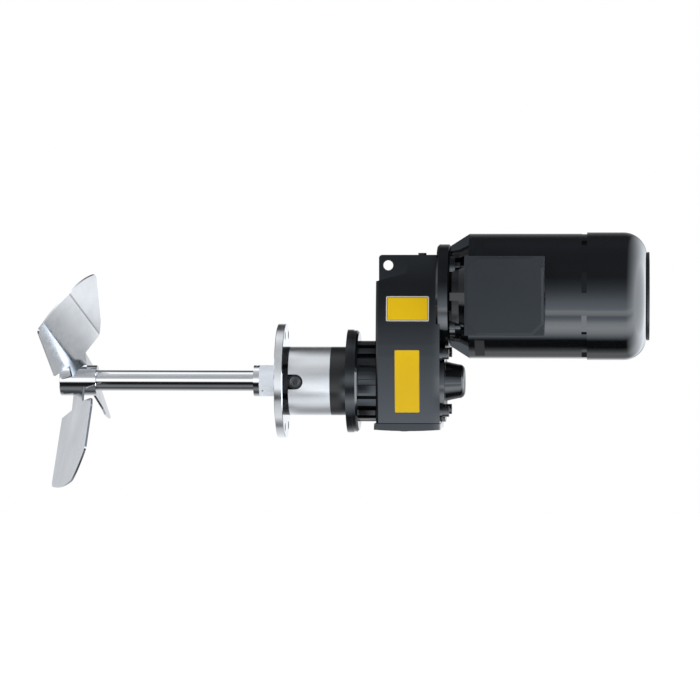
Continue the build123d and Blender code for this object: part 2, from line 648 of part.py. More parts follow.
# ---- gear unit housing ----
def case_half_width(z):
    """Half width of the case at a height, on the arc through foot, belly and top."""
    y1, z1, y2, z2 = CASE_HALF_FOOT, CASE_FOOT_Z, CASE_HALF_BELLY, CASE_BELLY_Z
    y3, z3 = CASE_HALF_TOP, CASE_TOP_Z
    d = 2 * (y1 * (z2 - z3) + y2 * (z3 - z1) + y3 * (z1 - z2))
    s1, s2, s3 = y1**2 + z1**2, y2**2 + z2**2, y3**2 + z3**2
    yc = (s1 * (z2 - z3) + s2 * (z3 - z1) + s3 * (z1 - z2)) / d
    zc = (s1 * (y3 - y2) + s2 * (y1 - y3) + s3 * (y2 - y1)) / d
    radius = sqrt((y1 - yc)**2 + (z1 - zc)**2)
    return yc + sqrt(radius**2 - (z - zc)**2)


def case_section(inset=0.0):
    """Cross-section (Y, Z) of the case: flat foot and top between bellied sides."""
    foot, top = CASE_FOOT_Z + inset, CASE_TOP_Z - inset
    points = [(case_half_width(z) - inset, z) for z in (foot, CASE_BELLY_Z, top)]
    mirrored = [(-y, z) for y, z in reversed(points)]
    outline = (ThreePointArc(*points) + Line(points[-1], mirrored[0]) + ThreePointArc(*mirrored)
               + Line(mirrored[-1], points[0]))
    return make_face(outline)


def case_side(inset=0.0):
    """Side view (X, Z) of the case with the sloping shoulder below the lifting web."""
    x0, x1 = CASE_X + inset, CASE_X1
    foot, top = CASE_FOOT_Z + inset, CASE_TOP_Z - inset
    return make_face(Polyline((x0, foot), (x1, foot), (x1, top), (CASE_X + SHOULDER_TOP_X + inset, top),
                              (CASE_X + SHOULDER_X + inset, SHOULDER_Z1 - inset),
                              (x0, SHOULDER_Z0 - inset), close=True))


def case_block(inset=0.0):
    """Case form: its cross-section run along X, within its side view run along Y."""
    run = Pos(CASE_X, 0, 0) * extrude(Plane.YZ * case_section(inset), CASE_L)
    return run & extrude(Plane.XZ * case_side(inset), CASE_HALF_BELLY + CUT, both=True)


def gearcase():
    """Cast case: flanged and ribbed neck, bellied body, lifting web, crowned foot."""
    body = case_block()
    rims = [e for e in body.edges().filter_by(GeomType.LINE, reverse=True)
            if abs(e.center().X - CASE_X) < CUT]
    body = fillet(rims, CASE_EDGE)
    web_top = make_face(Polyline((CASE_X + WEB_SETBACK, CASE_FOOT_Z), (CASE_X1, CASE_FOOT_Z),
                                 (CASE_X1, CASE_TOP_Z), (CASE_X + WEB_SETBACK, CASE_TOP_Z), close=True))
    corner = [v for v in web_top.vertices() if v.X < CASE_X1 - CUT and v.Y > 0]
    web = fillet(corner, WEB_CORNER) - Pos(CASE_X + EYE_X, EYE_Z) * Circle(EYE_D / 2)
    body += extrude(Plane.XZ * web, WEB_T / 2, both=True)
    body += case_foot()
    body -= case_block(CASE_WALL)
    body += case_neck()
    body += ring(CASE_X + CASE_WALL - CUT, LAY_FRONT_X + LAY_BEARING[2],
                 LAY_BEARING[1] / 2 + BEARING_BOSS, LAY_BEARING[1] / 2, LAY)
    body -= rod(LAY_FRONT_X, LAY_FRONT_X + LAY_BEARING[2], LAY_BEARING[1] / 2, LAY)
    body -= rod(GEAR_DISC_X - CUT, OUT_FRONT_X, OIL_SEAL_D / 2)
    body -= rod(OUT_FRONT_X, CASE_X + CASE_WALL, OUT_BEARING[1] / 2)
    for place in cover_screw_places() + input_screw_places():
        body += rod(CASE_X1 - COVER_GRIP, CASE_X1, COVER_PAD_D / 2, place)
        body -= rod(CASE_X1 - COVER_GRIP, CASE_X1 + CUT, COVER_SCREW_D / 2, place)
    body -= Pos(BREATHER_X, 0, CASE_TOP_Z) * Cylinder(PLUG_D / 2, 3 * CASE_WALL)
    return body - Pos(DRAIN_X, 0, CASE_FOOT_Z) * Cylinder(PLUG_D / 2, 3 * (FOOT_T + CASE_WALL))


def case_foot():
    """Foot band below the case with a crowned underside."""
    x0, x1 = CASE_X - FOOT_FRONT, CASE_X1 + FOOT_REAR
    low = CASE_FOOT_Z - FOOT_T + FOOT_CROWN
    half = case_half_width(CASE_FOOT_Z) + FOOT_SIDE
    arc = ThreePointArc((x0, low), ((x0 + x1) / 2, low - FOOT_CROWN), (x1, low))
    outline = arc + Polyline((x1, low), (x1, CASE_FOOT_Z), (x0, CASE_FOOT_Z), (x0, low))
    band = extrude(Plane.XZ * make_face(outline), half, both=True)
    return chamfer(band.edges().filter_by(Axis.Z), FOOT_SIDE)


def case_neck():
    """Output flange, neck core and the ribs round it."""
    edge = GEAR_DISC_EDGE
    core = turned([(GEAR_DISC_X, 0), (GEAR_DISC_X, GEAR_DISC_D / 2), (NECK_X - edge, GEAR_DISC_D / 2),
                   (NECK_X, GEAR_DISC_D / 2 - edge), (NECK_X, NECK_CORE_D / 2),
                   (CASE_X + CUT, NECK_CORE_D / 2), (CASE_X + CUT, 0)])
    rib = Pos((NECK_X + CASE_X) / 2, NECK_D / 4, 0) * Box(NECK_L + 2 * CUT, NECK_D / 2, NECK_RIB_W)
    ribs = Compound(children=[place * rib for place in around(NECK_RIB_COUNT, 180 / NECK_RIB_COUNT)])
    ribs = rod(NECK_X - CUT, CASE_X + CUT, NECK_D / 2) & ribs
    taps = [place * Pos(0, B5_PCD / 2, 0) * rod(GEAR_DISC_X - CUT, NECK_X + CUT, B5_SCREW_D / 2)
            for place in b5_places()]
    return core + ribs - taps


def breather_plug():
    """Vent plug in the top of the case."""
    return Pos(BREATHER_X, 0, CASE_TOP_Z) * top_plug()


def drain_plug():
    """Oil drain plug in the underside of the foot."""
    return Pos(DRAIN_X, 0, CASE_FOOT_Z - FOOT_T) * Rot(180, 0, 0) * top_plug()


def top_plug():
    """Hexagon head plug that stands on Z=0 with its stem below."""
    head = extrude(RegularPolygon(PLUG_HEX / 2, 6, major_radius=False), PLUG_HEAD_L)
    return head + Pos(0, 0, -CASE_WALL) * extrude(Circle(PLUG_D / 2), CASE_WALL)


def cover_screw_places():
    """Places (y, z) of the rear cover screws."""
    return [(side * (case_half_width(z) - COVER_SCREW_IN), z)
            for z in COVER_SCREW_Z for side in (1, -1)]


def input_screw_places():
    """Places (y, z) of the input flange screws."""
    return [(side * (case_half_width(z) - COVER_SCREW_IN), z)
            for z in (MOTOR_Z - INPUT_SCREW_Z, MOTOR_Z + INPUT_SCREW_Z) for side in (1, -1)]


def rear_cover():
    """Cover of the case below the input flange, with the boss of the rear output bearing."""
    bore, outside, width = OUT_BEARING
    inner_x = OUT_REAR_X + COVER_CLEAR
    cover = Pos(CASE_X1, 0, 0) * extrude(Plane.YZ * case_section(), COVER_T)
    cover += rod(COVER_X1 - CUT, BOSS_X1, BOSS_D / 2)
    cover += rod(inner_x, CASE_X1 + CUT, outside / 2 + BEARING_BOSS)
    cover -= rod(inner_x - CUT, OUT_REAR_X + width, outside / 2)
    cover -= rod(OUT_REAR_X, BOSS_X1 + CUT, OIL_SEAL_D / 2)
    cover -= rod(CASE_X1 - CUT, BOSS_X1 + CUT, INPUT_D / 2 + AIR, MOTOR)
    cover -= Pos(CASE_X1, 0, MOTOR_Z) * Box(3 * COVER_T, CASE_TOP_Z, CASE_TOP_Z,
                                            align=(Align.CENTER, Align.CENTER, Align.MIN))
    seat_x = COVER_X1 + COVER_PAD_T
    for place in cover_screw_places():
        cover += rod(COVER_X1 - CUT, seat_x, COVER_PAD_D / 2, place)
        cover -= rod(seat_x, BOSS_X1 + CUT, COVER_HEAD_D / 2 + HOLE_GAP, place)
        cover -= rod(CASE_X1 - CUT, seat_x + CUT, COVER_SCREW_D / 2 + HOLE_GAP, place)
    return cover


def screws_at(places, x_head, x_tip):
    """Group of socket screws along X at (y, z) places."""
    screw = socket_screw(x_head, x_tip, COVER_SCREW_D, COVER_HEAD_D, COVER_HEAD_L, 0)
    return group([screw], [Pos(0, y, z) for y, z in places])


def cover_screws():
    """Screws of the rear cover."""
    return screws_at(cover_screw_places(), COVER_X1 + COVER_PAD_T, CASE_X1 - COVER_GRIP)


def input_flange_screws():
    """Screws of the input flange, sunk below the face that the motor bolts to."""
    return screws_at(input_screw_places(), INPUT_X1 - INPUT_SCREW_SINK, CASE_X1 - COVER_GRIP)


def input_flange():
    """Disc between gear unit and motor, with the rear layshaft bearing inside."""
    radius, edge = INPUT_D / 2, INPUT_EDGE
    seal_x = CASE_X1 + OIL_SEAL_T
    body = turned([(CASE_X1, PINION_PASS_D / 2), (CASE_X1, radius - edge), (CASE_X1 + edge, radius),
                   (INPUT_X1 - edge, radius), (INPUT_X1, radius - edge), (INPUT_X1, INPUT_BORE_D / 2),
                   (seal_x, INPUT_BORE_D / 2), (seal_x, PINION_PASS_D / 2)], MOTOR)
    pocket = LAY_BEARING[1] / 2
    body += rod(LAY_REAR_X, CASE_X1, pocket + BEARING_BOSS, LAY)
    body -= rod(LAY_REAR_X - CUT, LAY_REAR_X + LAY_BEARING[2], pocket, LAY)
    body -= rod(LAY_REAR_X - CUT, CASE_X1 + CUT, PINION_PASS_D / 2, MOTOR)
    head = COVER_HEAD_D / 2 + HOLE_GAP
    for place in input_screw_places():
        body -= rod(CASE_X1 - CUT, INPUT_X1 + CUT, COVER_SCREW_D / 2 + HOLE_GAP, place)
        body -= rod(INPUT_X1 - INPUT_SCREW_SINK, INPUT_X1 + CUT, head, place)
    taps = [place * Pos(0, B5_PCD / 2, 0) * rod(INPUT_X1 - LUG_GRIP, INPUT_X1 + CUT, B5_SCREW_D / 2)
            for place in motor_screw_places()]
    return body - taps


def shaft_cap():
    """Domed cap over the end of the hollow shaft."""
    x0, x1, rise, end_r = BOSS_X1, BOSS_X1 + CAP_L, CAP_ROUND, CAP_END_D / 2
    bend = (x1 - rise + rise * sin(pi / 4), end_r - rise + rise * cos(pi / 4))
    outline = (Polyline((x0, 0), (x0, CAP_D / 2), (x1 - rise, end_r))
               + ThreePointArc((x1 - rise, end_r), bend, (x1, end_r - rise))
               + Polyline((x1, end_r - rise), (x1, 0), (x0, 0)))
    solid = revolve(make_face(outline), Axis.X)
    hollow = turned([(x0 - CUT, 0), (x0 - CUT, CAP_D / 2 - CAP_WALL), (x1 - rise, end_r - CAP_WALL),
                     (x1 - CAP_WALL, end_r - rise), (x1 - CAP_WALL, 0)])
    return solid - hollow


def oil_seals():
    """Oil seals of the hollow shaft, one at each end of the gear unit."""
    running = HOLLOW_D / 2 + RUN
    front = ring(OUT_FRONT_X - OIL_SEAL_T, OUT_FRONT_X, OIL_SEAL_D / 2, running)
    rear_x = OUT_REAR_X + OUT_BEARING[2]
    rear = ring(rear_x, BOSS_X1, OIL_SEAL_D / 2, running)
    return group([front, rear], [Pos(0, 0, 0)])


# ---- gear train ----
def output_bearings():
    """Outer rings and inner rings of the two bearings of the hollow shaft."""
    pairs = [bearing_rings(OUT_BEARING, x) for x in (OUT_FRONT_X, OUT_REAR_X)]
    return [group(rings, [Pos(0, 0, 0)]) for rings in zip(*pairs)]


def hollow_shaft():
    """Hollow output shaft with the groove of the key."""
    body = ring(HOLLOW_X0, HOLLOW_X1, HOLLOW_D / 2, SHAFT_END_D / 2 + SLIP)
    top = SHAFT_END_D / 2 - KEY_SINK + KEY_H
    groove = Pos((HOLLOW_X0 + HOLLOW_X1) / 2, 0, top / 2 + SLIP) * Box(
        2 * HOLLOW_X1, KEY_W + 2 * SLIP, top)
    return body - groove


def output_spacers():
    """Tubes between the large wheel and the bearings."""
    outer, inner = SPACER_D / 2, HOLLOW_D / 2 + SLIP
    front = ring(OUT_FRONT_X + OUT_BEARING[2], WHEEL_2_X, outer, inner)
    rear = ring(WHEEL_2_X + WIDTH_2, OUT_REAR_X, outer, inner)
    return group([front, rear], [Pos(0, 0, 0)])


def output_wheel():
    """Large wheel on the hollow shaft; a gap faces the layshaft pinion."""
    first = towards(OUT, LAY) + pi / WHEEL_2_TEETH_COUNT
    return gear(MODULE_2, WHEEL_2_TEETH_COUNT, WHEEL_2_X, WIDTH_2, OUT, first, HOLLOW_D + 2 * SLIP)


def layshaft():
    """Layshaft with its pinion cut on it."""
    journal, radius = LAY_BEARING[0] / 2, LAYSHAFT_D / 2
    front_x, rear_x = LAY_FRONT_X + LAY_BEARING[2], LAY_REAR_X
    body = turned([(LAY_FRONT_X, 0), (LAY_FRONT_X, journal), (front_x, journal), (front_x, radius),
                   (rear_x, radius), (rear_x, journal), (rear_x + LAY_BEARING[2], journal),
                   (rear_x + LAY_BEARING[2], 0)], LAY)
    return body + gear(MODULE_2, PINION_2_TEETH_COUNT, PINION_2_X, WIDTH_2 + PINION_EXTRA, LAY,
                       towards(LAY, OUT), 0)


def layshaft_wheel():
    """First stage wheel; a gap faces the motor pinion."""
    first = towards(LAY, MOTOR) + pi / WHEEL_1_TEETH_COUNT
    return gear(MODULE_1, WHEEL_1_TEETH_COUNT, WHEEL_1_X, WIDTH_1, LAY, first, LAYSHAFT_D + 2 * SLIP)


def layshaft_bearings():
    """Outer rings and inner rings of the two layshaft bearings."""
    pairs = [bearing_rings(LAY_BEARING, x, LAY) for x in (LAY_FRONT_X, LAY_REAR_X)]
    return [group(rings, [Pos(0, 0, 0)]) for rings in zip(*pairs)]


# ---- motor ----
def motor_screw_places():
    """Frames of the screws between the motor and the input flange."""
    return around(B5_SCREW_COUNT, 180 / B5_SCREW_COUNT, MOTOR)


def motor_shaft():
    """Motor shaft with the first pinion cut on its end."""
    seat, middle, fan = MOTOR_BEARING[0] / 2, MOTOR_SHAFT_D / 2, FAN_SEAT_D / 2
    start, rear_x = PINION_1_X, REAR_BEARING_X + MOTOR_BEARING[2]
    drive_x = DRIVE_BEARING_X + MOTOR_BEARING[2]
    body = turned([(start, 0), (start, seat), (drive_x, seat), (drive_x, middle),
                   (REAR_BEARING_X, middle), (REAR_BEARING_X, seat), (rear_x, seat), (rear_x, fan),
                   (FAN_X + FAN_L, fan), (FAN_X + FAN_L, 0)], MOTOR)
    return body + gear(MODULE_1, PINION_1_TEETH_COUNT, start, WIDTH_1 + PINION_EXTRA, MOTOR,
                       towards(MOTOR, LAY), 0)


def motor_bearings():
    """Outer rings and inner rings of the two motor bearings."""
    pairs = [bearing_rings(MOTOR_BEARING, x, MOTOR) for x in (DRIVE_BEARING_X, REAR_BEARING_X)]
    return [group(rings, [Pos(0, 0, 0)]) for rings in zip(*pairs)]


def input_oil_seal():
    """Oil seal between the gear unit and the motor."""
    x1 = CASE_X1 + 2 * OIL_SEAL_T
    return ring(x1 - OIL_SEAL_T, x1, INPUT_BORE_D / 2, MOTOR_BEARING[0] / 2 + RUN, MOTOR)


def motor_end_shield():
    """Drive end shield: waisted bell, four ribs, four ears with screw pockets, and the rim."""
    x0, x1 = INPUT_X1, STATOR_X
    waist_x, rim_x = x0 + BELL_WAIST_L, x1 - BELL_RIM_T
    r0, r1, r2, rim_r = BELL_D0 / 2, BELL_D1 / 2, BELL_D2 / 2, STATOR_D / 2
    spigot_r = rim_r - STATOR_WALL - SLIP
    seat, boss_r = MOTOR_BEARING[1] / 2, MOTOR_BEARING[1] / 2 + BEARING_BOSS
    back_x = DRIVE_BEARING_X + MOTOR_BEARING[2]
    wall = BELL_WALL
    body = turned([(x0, PINION_PASS_D / 2), (x0, r0), (waist_x, r1), (rim_x, r2), (rim_x, rim_r),
                   (x1, rim_r), (x1, spigot_r), (x1 + SPIGOT_L, spigot_r), (x1 + SPIGOT_L, spigot_r - wall),
                   (rim_x, r2 - wall), (waist_x, r1 - wall), (DRIVE_BEARING_X + wall, boss_r + wall),
                   (DRIVE_BEARING_X + wall, boss_r), (back_x, boss_r), (back_x, seat),
                   (DRIVE_BEARING_X, seat), (DRIVE_BEARING_X, PINION_PASS_D / 2)], MOTOR)
    side = make_face(Polyline((x0, r0 - wall / 2), (x0, RIB_D0 / 2), (rim_x, rim_r), (rim_x, r2 - wall / 2),
                              (waist_x, r1 - wall / 2), close=True))
    rib = extrude(side, RIB_W / 2, both=True)
    for place in around(RIB_COUNT, 0, MOTOR):
        body += place * rib
    bell = turned([(x0, 0), (x0, r0), (waist_x, r1), (rim_x, r2), (rim_x, 0)], MOTOR)
    seat_x = x0 + LUG_L
    pocket_x, pocket_r = seat_x + LUG_POCKET_L, LUG_POCKET_D / 2
    pocket = rod(seat_x, pocket_x, pocket_r) + Pos((seat_x + pocket_x) / 2, LUG_POCKET_D, 0) * Box(
        LUG_POCKET_L, 2 * LUG_POCKET_D, LUG_POCKET_D)
    for place in motor_screw_places():
        at = place * Pos(0, B5_PCD / 2, 0)
        body += at * rod(x0, pocket_x + LUG_WALL, pocket_r + LUG_WALL) & bell
        body += at * rod(x0, seat_x, LUG_D / 2)
        body -= at * pocket
        body -= at * rod(x0 - CUT, seat_x + CUT, B5_SCREW_D / 2 + HOLE_GAP)
    return body


def motor_flange_screws():
    """Socket head screws through the lugs into the input flange."""
    screw = socket_screw(INPUT_X1 + LUG_L, INPUT_X1 - LUG_GRIP, B5_SCREW_D, B5_HEAD_D, B5_HEAD_L,
                         B5_PCD / 2)
    return group([screw], motor_screw_places())


def stator_housing():
    """Smooth round motor housing with four machined flats and the hole for the leads."""
    body = ring(STATOR_X, STATOR_X1, STATOR_D / 2, STATOR_D / 2 - STATOR_WALL, MOTOR)
    flat = Pos(0, STATOR_D / 2 - PAD_SINK, 0) * Box(PAD_L, STATOR_D, STATOR_D,
                                                    align=(Align.MIN, Align.MIN, Align.CENTER))
    for angle in PAD_ANGLES:
        for turn in (angle, 180 - angle):
            body -= Pos(STATOR_X, 0, MOTOR_Z) * Rot(turn, 0, 0) * flat
    return body - lead_hole()


def lead_hole():
    """Hole for the motor leads, from inside the housing out to the terminal box."""
    return Pos(*BOX_CENTRE) * Rot(90, 0, 0) * extrude(Circle(BOX_LEAD_D / 2), CUT - BOX_BACK_Y)


def stator_core():
    """Laminated core pressed into the housing."""
    return ring(CORE_X0, CORE_X1, STATOR_D / 2 - STATOR_WALL - SLIP, CORE_BORE_D / 2, MOTOR)


def stator_windings():
    """Rounded coil ends at both ends of the core."""
    inner = CORE_BORE_D / 2 + WINDING_STEP
    coils = [ring(x, x + WINDING_L, inner + WINDING_T, inner, MOTOR)
             for x in (CORE_X0 - WINDING_L, CORE_X1)]
    return group(coils, [Pos(0, 0, 0)])


def rotor_core():
    """Rotor stack with its two short-circuit rings."""
    stack = ring(CORE_X0, CORE_X1, CORE_BORE_D / 2 - ROTOR_GAP, MOTOR_SHAFT_D / 2 + SLIP, MOTOR)
    end_r = CORE_BORE_D / 2 - WINDING_STEP
    for x in (CORE_X0 - END_RING_T, CORE_X1):
        stack += ring(x, x + END_RING_T, end_r, end_r - WINDING_T, MOTOR)
    return stack


def rear_end_shield():
    """Rear end shield: bearing boss, and a slotted rim that shows before the cowl."""
    x0, x1, rim_r = STATOR_X1, COWL_X, STATOR_D / 2
    spigot_r = rim_r - STATOR_WALL - SLIP
    cowl_seat = COWL_D / 2 - COWL_WALL - SLIP
    seat, boss_r = MOTOR_BEARING[1] / 2, MOTOR_BEARING[1] / 2 + BEARING_BOSS
    stop_x, boss_x = REAR_BEARING_X + MOTOR_BEARING[2], x0 - SHIELD_BOSS_L
    body = turned([(boss_x, seat), (boss_x, boss_r), (x0 - SPIGOT_L, boss_r), (x0 - SPIGOT_L, spigot_r),
                   (x0, spigot_r), (x0, rim_r), (x1, rim_r), (x1, cowl_seat), (x1 + SPIGOT_L, cowl_seat),
                   (x1 + SPIGOT_L, cowl_seat - BELL_WALL), (x1, cowl_seat - BELL_WALL),
                   (x1, MOTOR_SHAFT_D / 2), (stop_x, MOTOR_SHAFT_D / 2), (stop_x, seat)], MOTOR)
    slot = Pos((x0 + x1) / 2, rim_r, 0) * Box(x1 - x0, 2 * SHIELD_SLOT_H, SHIELD_SLOT_W)
    for place in around(SHIELD_SLOT_COUNT, SHIELD_SLOT_FIRST, MOTOR):
        body -= place * slot
    return body


def cooling_fan():
    """Radial fan: hub, back plate and straight blades."""
    hub_r, tip_r = FAN_HUB_D / 2, FAN_D / 2
    body = ring(FAN_X, FAN_X + FAN_L, hub_r, FAN_SEAT_D / 2 + SLIP)
    body += ring(FAN_X + FAN_L - FAN_T, FAN_X + FAN_L, FAN_PLATE_D / 2, hub_r - CUT)
    blade_plate = Pos(FAN_X + FAN_L / 2, (hub_r + tip_r - CUT) / 2, 0) * Box(
        FAN_L, tip_r - hub_r + CUT, FAN_T)
    for place in around(FAN_BLADE_COUNT):
        body += place * blade_plate
    return Pos(0, 0, MOTOR_Z) * body


def fan_cowl():
    """Sheet metal cowl with a large end radius and an open mouth."""
    x0, x1 = COWL_X, COWL_X1
    outline = (Line((x0, COWL_D / 2), (x1 - COWL_ROUND, COWL_D / 2))
               + RadiusArc((x1 - COWL_ROUND, COWL_D / 2), (x1, COWL_D / 2 - COWL_ROUND), COWL_ROUND)
               + Line((x1, COWL_D / 2 - COWL_ROUND), (x1, COWL_MOUTH_D / 2)))
    inner_round = COWL_ROUND - COWL_WALL
    inner_r, inner_x = COWL_D / 2 - COWL_WALL, x1 - COWL_WALL
    outline += (Line((x1, COWL_MOUTH_D / 2), (inner_x, COWL_MOUTH_D / 2))
                + Line((inner_x, COWL_MOUTH_D / 2), (inner_x, inner_r - inner_round))
                + RadiusArc((inner_x, inner_r - inner_round), (inner_x - inner_round, inner_r),
                            -inner_round)
                + Line((inner_x - inner_round, inner_r), (x0, inner_r))
                + Line((x0, inner_r), (x0, COWL_D / 2)))
    return Pos(0, 0, MOTOR_Z) * revolve(make_face(outline), Axis.X)


def fan_grille():
    """Guard over the mouth of the cowl: rings joined by spokes."""
    x0, x1, outer = COWL_X1, COWL_X1 + GRILLE_T, GRILLE_D / 2
    rim_w = (GRILLE_D - COWL_MOUTH_D) / 2
    guard = ring(x0, x1, outer, outer - rim_w)
    gap = (outer - rim_w) / GRILLE_RING_COUNT
    for n in range(1, GRILLE_RING_COUNT):
        guard += ring(x0, x1, gap * n + GRILLE_BAR / 2, gap * n - GRILLE_BAR / 2)
    spoke = Pos((x0 + x1) / 2, outer / 2, 0) * Box(GRILLE_T, outer - rim_w, GRILLE_BAR)
    for place in around(GRILLE_SPOKE_COUNT):
        guard += place * spoke
    return Pos(0, 0, MOTOR_Z) * guard


# ---- terminal box ----
def box_slab(y0, y1, size):
    """Square slab of the terminal box between two depths."""
    x, _, z = BOX_CENTRE
    return Pos(x, (y0 + y1) / 2, z) * Box(size, abs(y1 - y0), size)


def terminal_box():
    """Box body on a saddle that fits the round motor housing."""
    radius = STATOR_D / 2
    body = box_slab(BOX_OPEN_Y, BOX_SADDLE_L - radius, BOX_SIZE) - box_slab(
        BOX_OPEN_Y - CUT, BOX_BACK_Y, BOX_SIZE - 2 * BOX_WALL)
    body -= rod(INPUT_X1, STATOR_X1, radius + SLIP, MOTOR)
    body -= [place * Cylinder(ENTRY_PLUG_D / 2, 6 * BOX_WALL) for place in cable_entries()]
    return body - lead_hole()


def cable_entries():
    """Frames of the cable entries in the rear wall of the box; their Z points out."""
    x, _, z = BOX_CENTRE
    return [Pos(x + BOX_SIZE / 2, BOX_OPEN_Y + ENTRY_DEPTH, z + side * ENTRY_PLUG_PITCH / 2)
            * Rot(0, 90, 0) for side in (1, -1)]


def cable_entry_plugs():
    """Blanking plugs in the cable entries."""
    head = Cylinder(ENTRY_HEAD_D / 2, ENTRY_HEAD_T, align=(Align.CENTER, Align.CENTER, Align.MIN))
    stem = Cylinder(ENTRY_PLUG_D / 2, 2 * BOX_WALL, align=(Align.CENTER, Align.CENTER, Align.MAX))
    return group([head + stem], cable_entries())


def terminal_gasket():
    """Gasket between the box and its cover."""
    y0, size = BOX_OPEN_Y - BOX_GASKET_T, BOX_SIZE - 2 * BOX_GASKET_INSET
    return box_slab(y0, BOX_OPEN_Y, size) - box_slab(y0 - CUT, BOX_OPEN_Y + CUT, size - 2 * BOX_WALL)


def terminal_cover():
    """Cover with a raised field that has cut corners and sloping sides."""
    x, _, z = BOX_CENTRE
    plate_y = BOX_FRONT_Y + BOX_FIELD_RISE
    plate = box_slab(plate_y, BOX_FRONT_Y + BOX_COVER_T, BOX_SIZE)
    sections = []
    for y, inset in ((plate_y, 0.0), (BOX_FRONT_Y, BOX_FIELD_INSET)):
        side = BOX_SIZE - 2 * (BOX_EDGE + inset)
        field = chamfer(Rectangle(side, side).vertices(), BOX_CHAMFER)
        sections.append(Pos(x, y, z) * (Plane.XZ * field))
    return plate + loft(sections, ruled=True)


def terminal_block():
    """Insulating block with six brass studs."""
    x, _, z = BOX_CENTRE
    block = Pos(x, BOX_BACK_Y - BLOCK_T / 2, z - BLOCK_DROP) * Box(BLOCK_W, BLOCK_T, BLOCK_H)
    stud = Rot(90, 0, 0) * extrude(Circle(STUD_D / 2), STUD_L)
    for column in (-1, 0, 1):
        for row in (-0.5, 0.5):
            block += Pos(x + column * STUD_PITCH_X, BOX_BACK_Y - BLOCK_T,
                         z - BLOCK_DROP + row * STUD_PITCH_Z) * stud
    return block


# ---- all sub-parts ----
pedestal_outer, pedestal_inner = pedestal_bearing()
output_outers, output_inners = output_bearings()
layshaft_outers, layshaft_inners = layshaft_bearings()
motor_outers, motor_inners = motor_bearings()

PARTS = {
    "mixer_shaft": mixer_shaft(),
    "shaft_key": shaft_key(),
    "shaft_retainer": shaft_retainer(),
    "impeller_hub": impeller_hub(),
    "seal_collar": seal_collar(),
    "collar_screws": collar_screws(),
    "seal_sleeve": seal_sleeve(),
    "seal_seat": seal_seat(),
    "lip_seal": lip_seal(),
    "tank_flange": tank_flange(),
    "seal_gland": seal_gland(),
    "flush_port_plugs": flush_port_plugs(),
    "pedestal_housing": pedestal_housing(),
    "pedestal_adapter": pedestal_adapter(),
    "pedestal_tie_screws": pedestal_tie_screws(),
    "adapter_screws": adapter_screws(),
    "pedestal_bearing_outer": pedestal_outer,
    "pedestal_bearing_inner": pedestal_inner,
    "gearcase": gearcase(),
    "breather_plug": breather_plug(),
    "drain_plug": drain_plug(),
    "rear_cover": rear_cover(),
    "cover_screws": cover_screws(),
    "shaft_cap": shaft_cap(),
    "oil_seals": oil_seals(),
    "output_bearing_outers": output_outers,
    "output_bearing_inners": output_inners,
    "hollow_shaft": hollow_shaft(),
    "output_spacers": output_spacers(),
    "output_wheel": output_wheel(),
    "layshaft": layshaft(),
    "layshaft_wheel": layshaft_wheel(),
    "layshaft_bearing_outers": layshaft_outers,
    "layshaft_bearing_inners": layshaft_inners,
    "input_flange": input_flange(),
    "input_flange_screws": input_flange_screws(),
    "input_oil_seal": input_oil_seal(),
    "motor_shaft": motor_shaft(),
    "rotor_core": rotor_core(),
    "motor_bearing_outers": motor_outers,
    "motor_bearing_inners": motor_inners,
    "motor_end_shield": motor_end_shield(),
    "motor_flange_screws": motor_flange_screws(),
    "stator_housing": stator_housing(),
    "stator_core": stator_core(),
    "stator_windings": stator_windings(),
    "rear_end_shield": rear_end_shield(),
    "cooling_fan": cooling_fan(),
    "fan_cowl": fan_cowl(),
    "fan_grille": fan_grille(),
    "terminal_box": terminal_box(),
    "terminal_gasket": terminal_gasket(),
    "terminal_cover": terminal_cover(),
    "terminal_block": terminal_block(),
    "cable_entry_plugs": cable_entry_plugs(),
}
PARTS.update({f"blade_{n + 1}": blade(n) for n in range(BLADE_COUNT)})

os.makedirs("parts", exist_ok=True)
for name, shape in PARTS.items():
    export_step(shape, f"parts/{name}.step")
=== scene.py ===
import json
from math import cos, hypot, pi, radians, sin

import bmesh
import bpy
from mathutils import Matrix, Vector

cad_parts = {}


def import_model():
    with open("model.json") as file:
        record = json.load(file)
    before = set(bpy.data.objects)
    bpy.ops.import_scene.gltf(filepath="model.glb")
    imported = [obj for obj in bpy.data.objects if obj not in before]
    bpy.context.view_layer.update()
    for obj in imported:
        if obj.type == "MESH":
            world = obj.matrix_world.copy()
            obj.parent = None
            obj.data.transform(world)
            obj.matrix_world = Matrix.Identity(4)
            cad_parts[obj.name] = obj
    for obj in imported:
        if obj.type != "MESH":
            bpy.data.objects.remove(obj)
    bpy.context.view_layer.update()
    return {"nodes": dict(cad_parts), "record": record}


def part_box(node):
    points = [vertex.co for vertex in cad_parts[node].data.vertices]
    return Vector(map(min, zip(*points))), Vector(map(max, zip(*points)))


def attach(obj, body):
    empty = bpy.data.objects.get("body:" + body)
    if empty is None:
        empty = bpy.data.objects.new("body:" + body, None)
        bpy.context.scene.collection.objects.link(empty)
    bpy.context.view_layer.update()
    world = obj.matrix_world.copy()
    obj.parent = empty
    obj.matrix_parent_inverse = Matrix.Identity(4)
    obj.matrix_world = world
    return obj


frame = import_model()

# Looks of the side entry tank mixer.  Metres throughout; X runs along the mixer shaft,
# Z is up, and the terminal box faces -Y.

NODES = frame["nodes"]

# ---- camera ----
CAMERA_TARGET = Vector((0.111, 0.0, 0.048))
CAMERA_AZIMUTH = radians(4.0)
CAMERA_ELEVATION = radians(1.5)
CAMERA_DISTANCE = 5.877
CAMERA_LENS = 195.0
SENSOR = 36.0

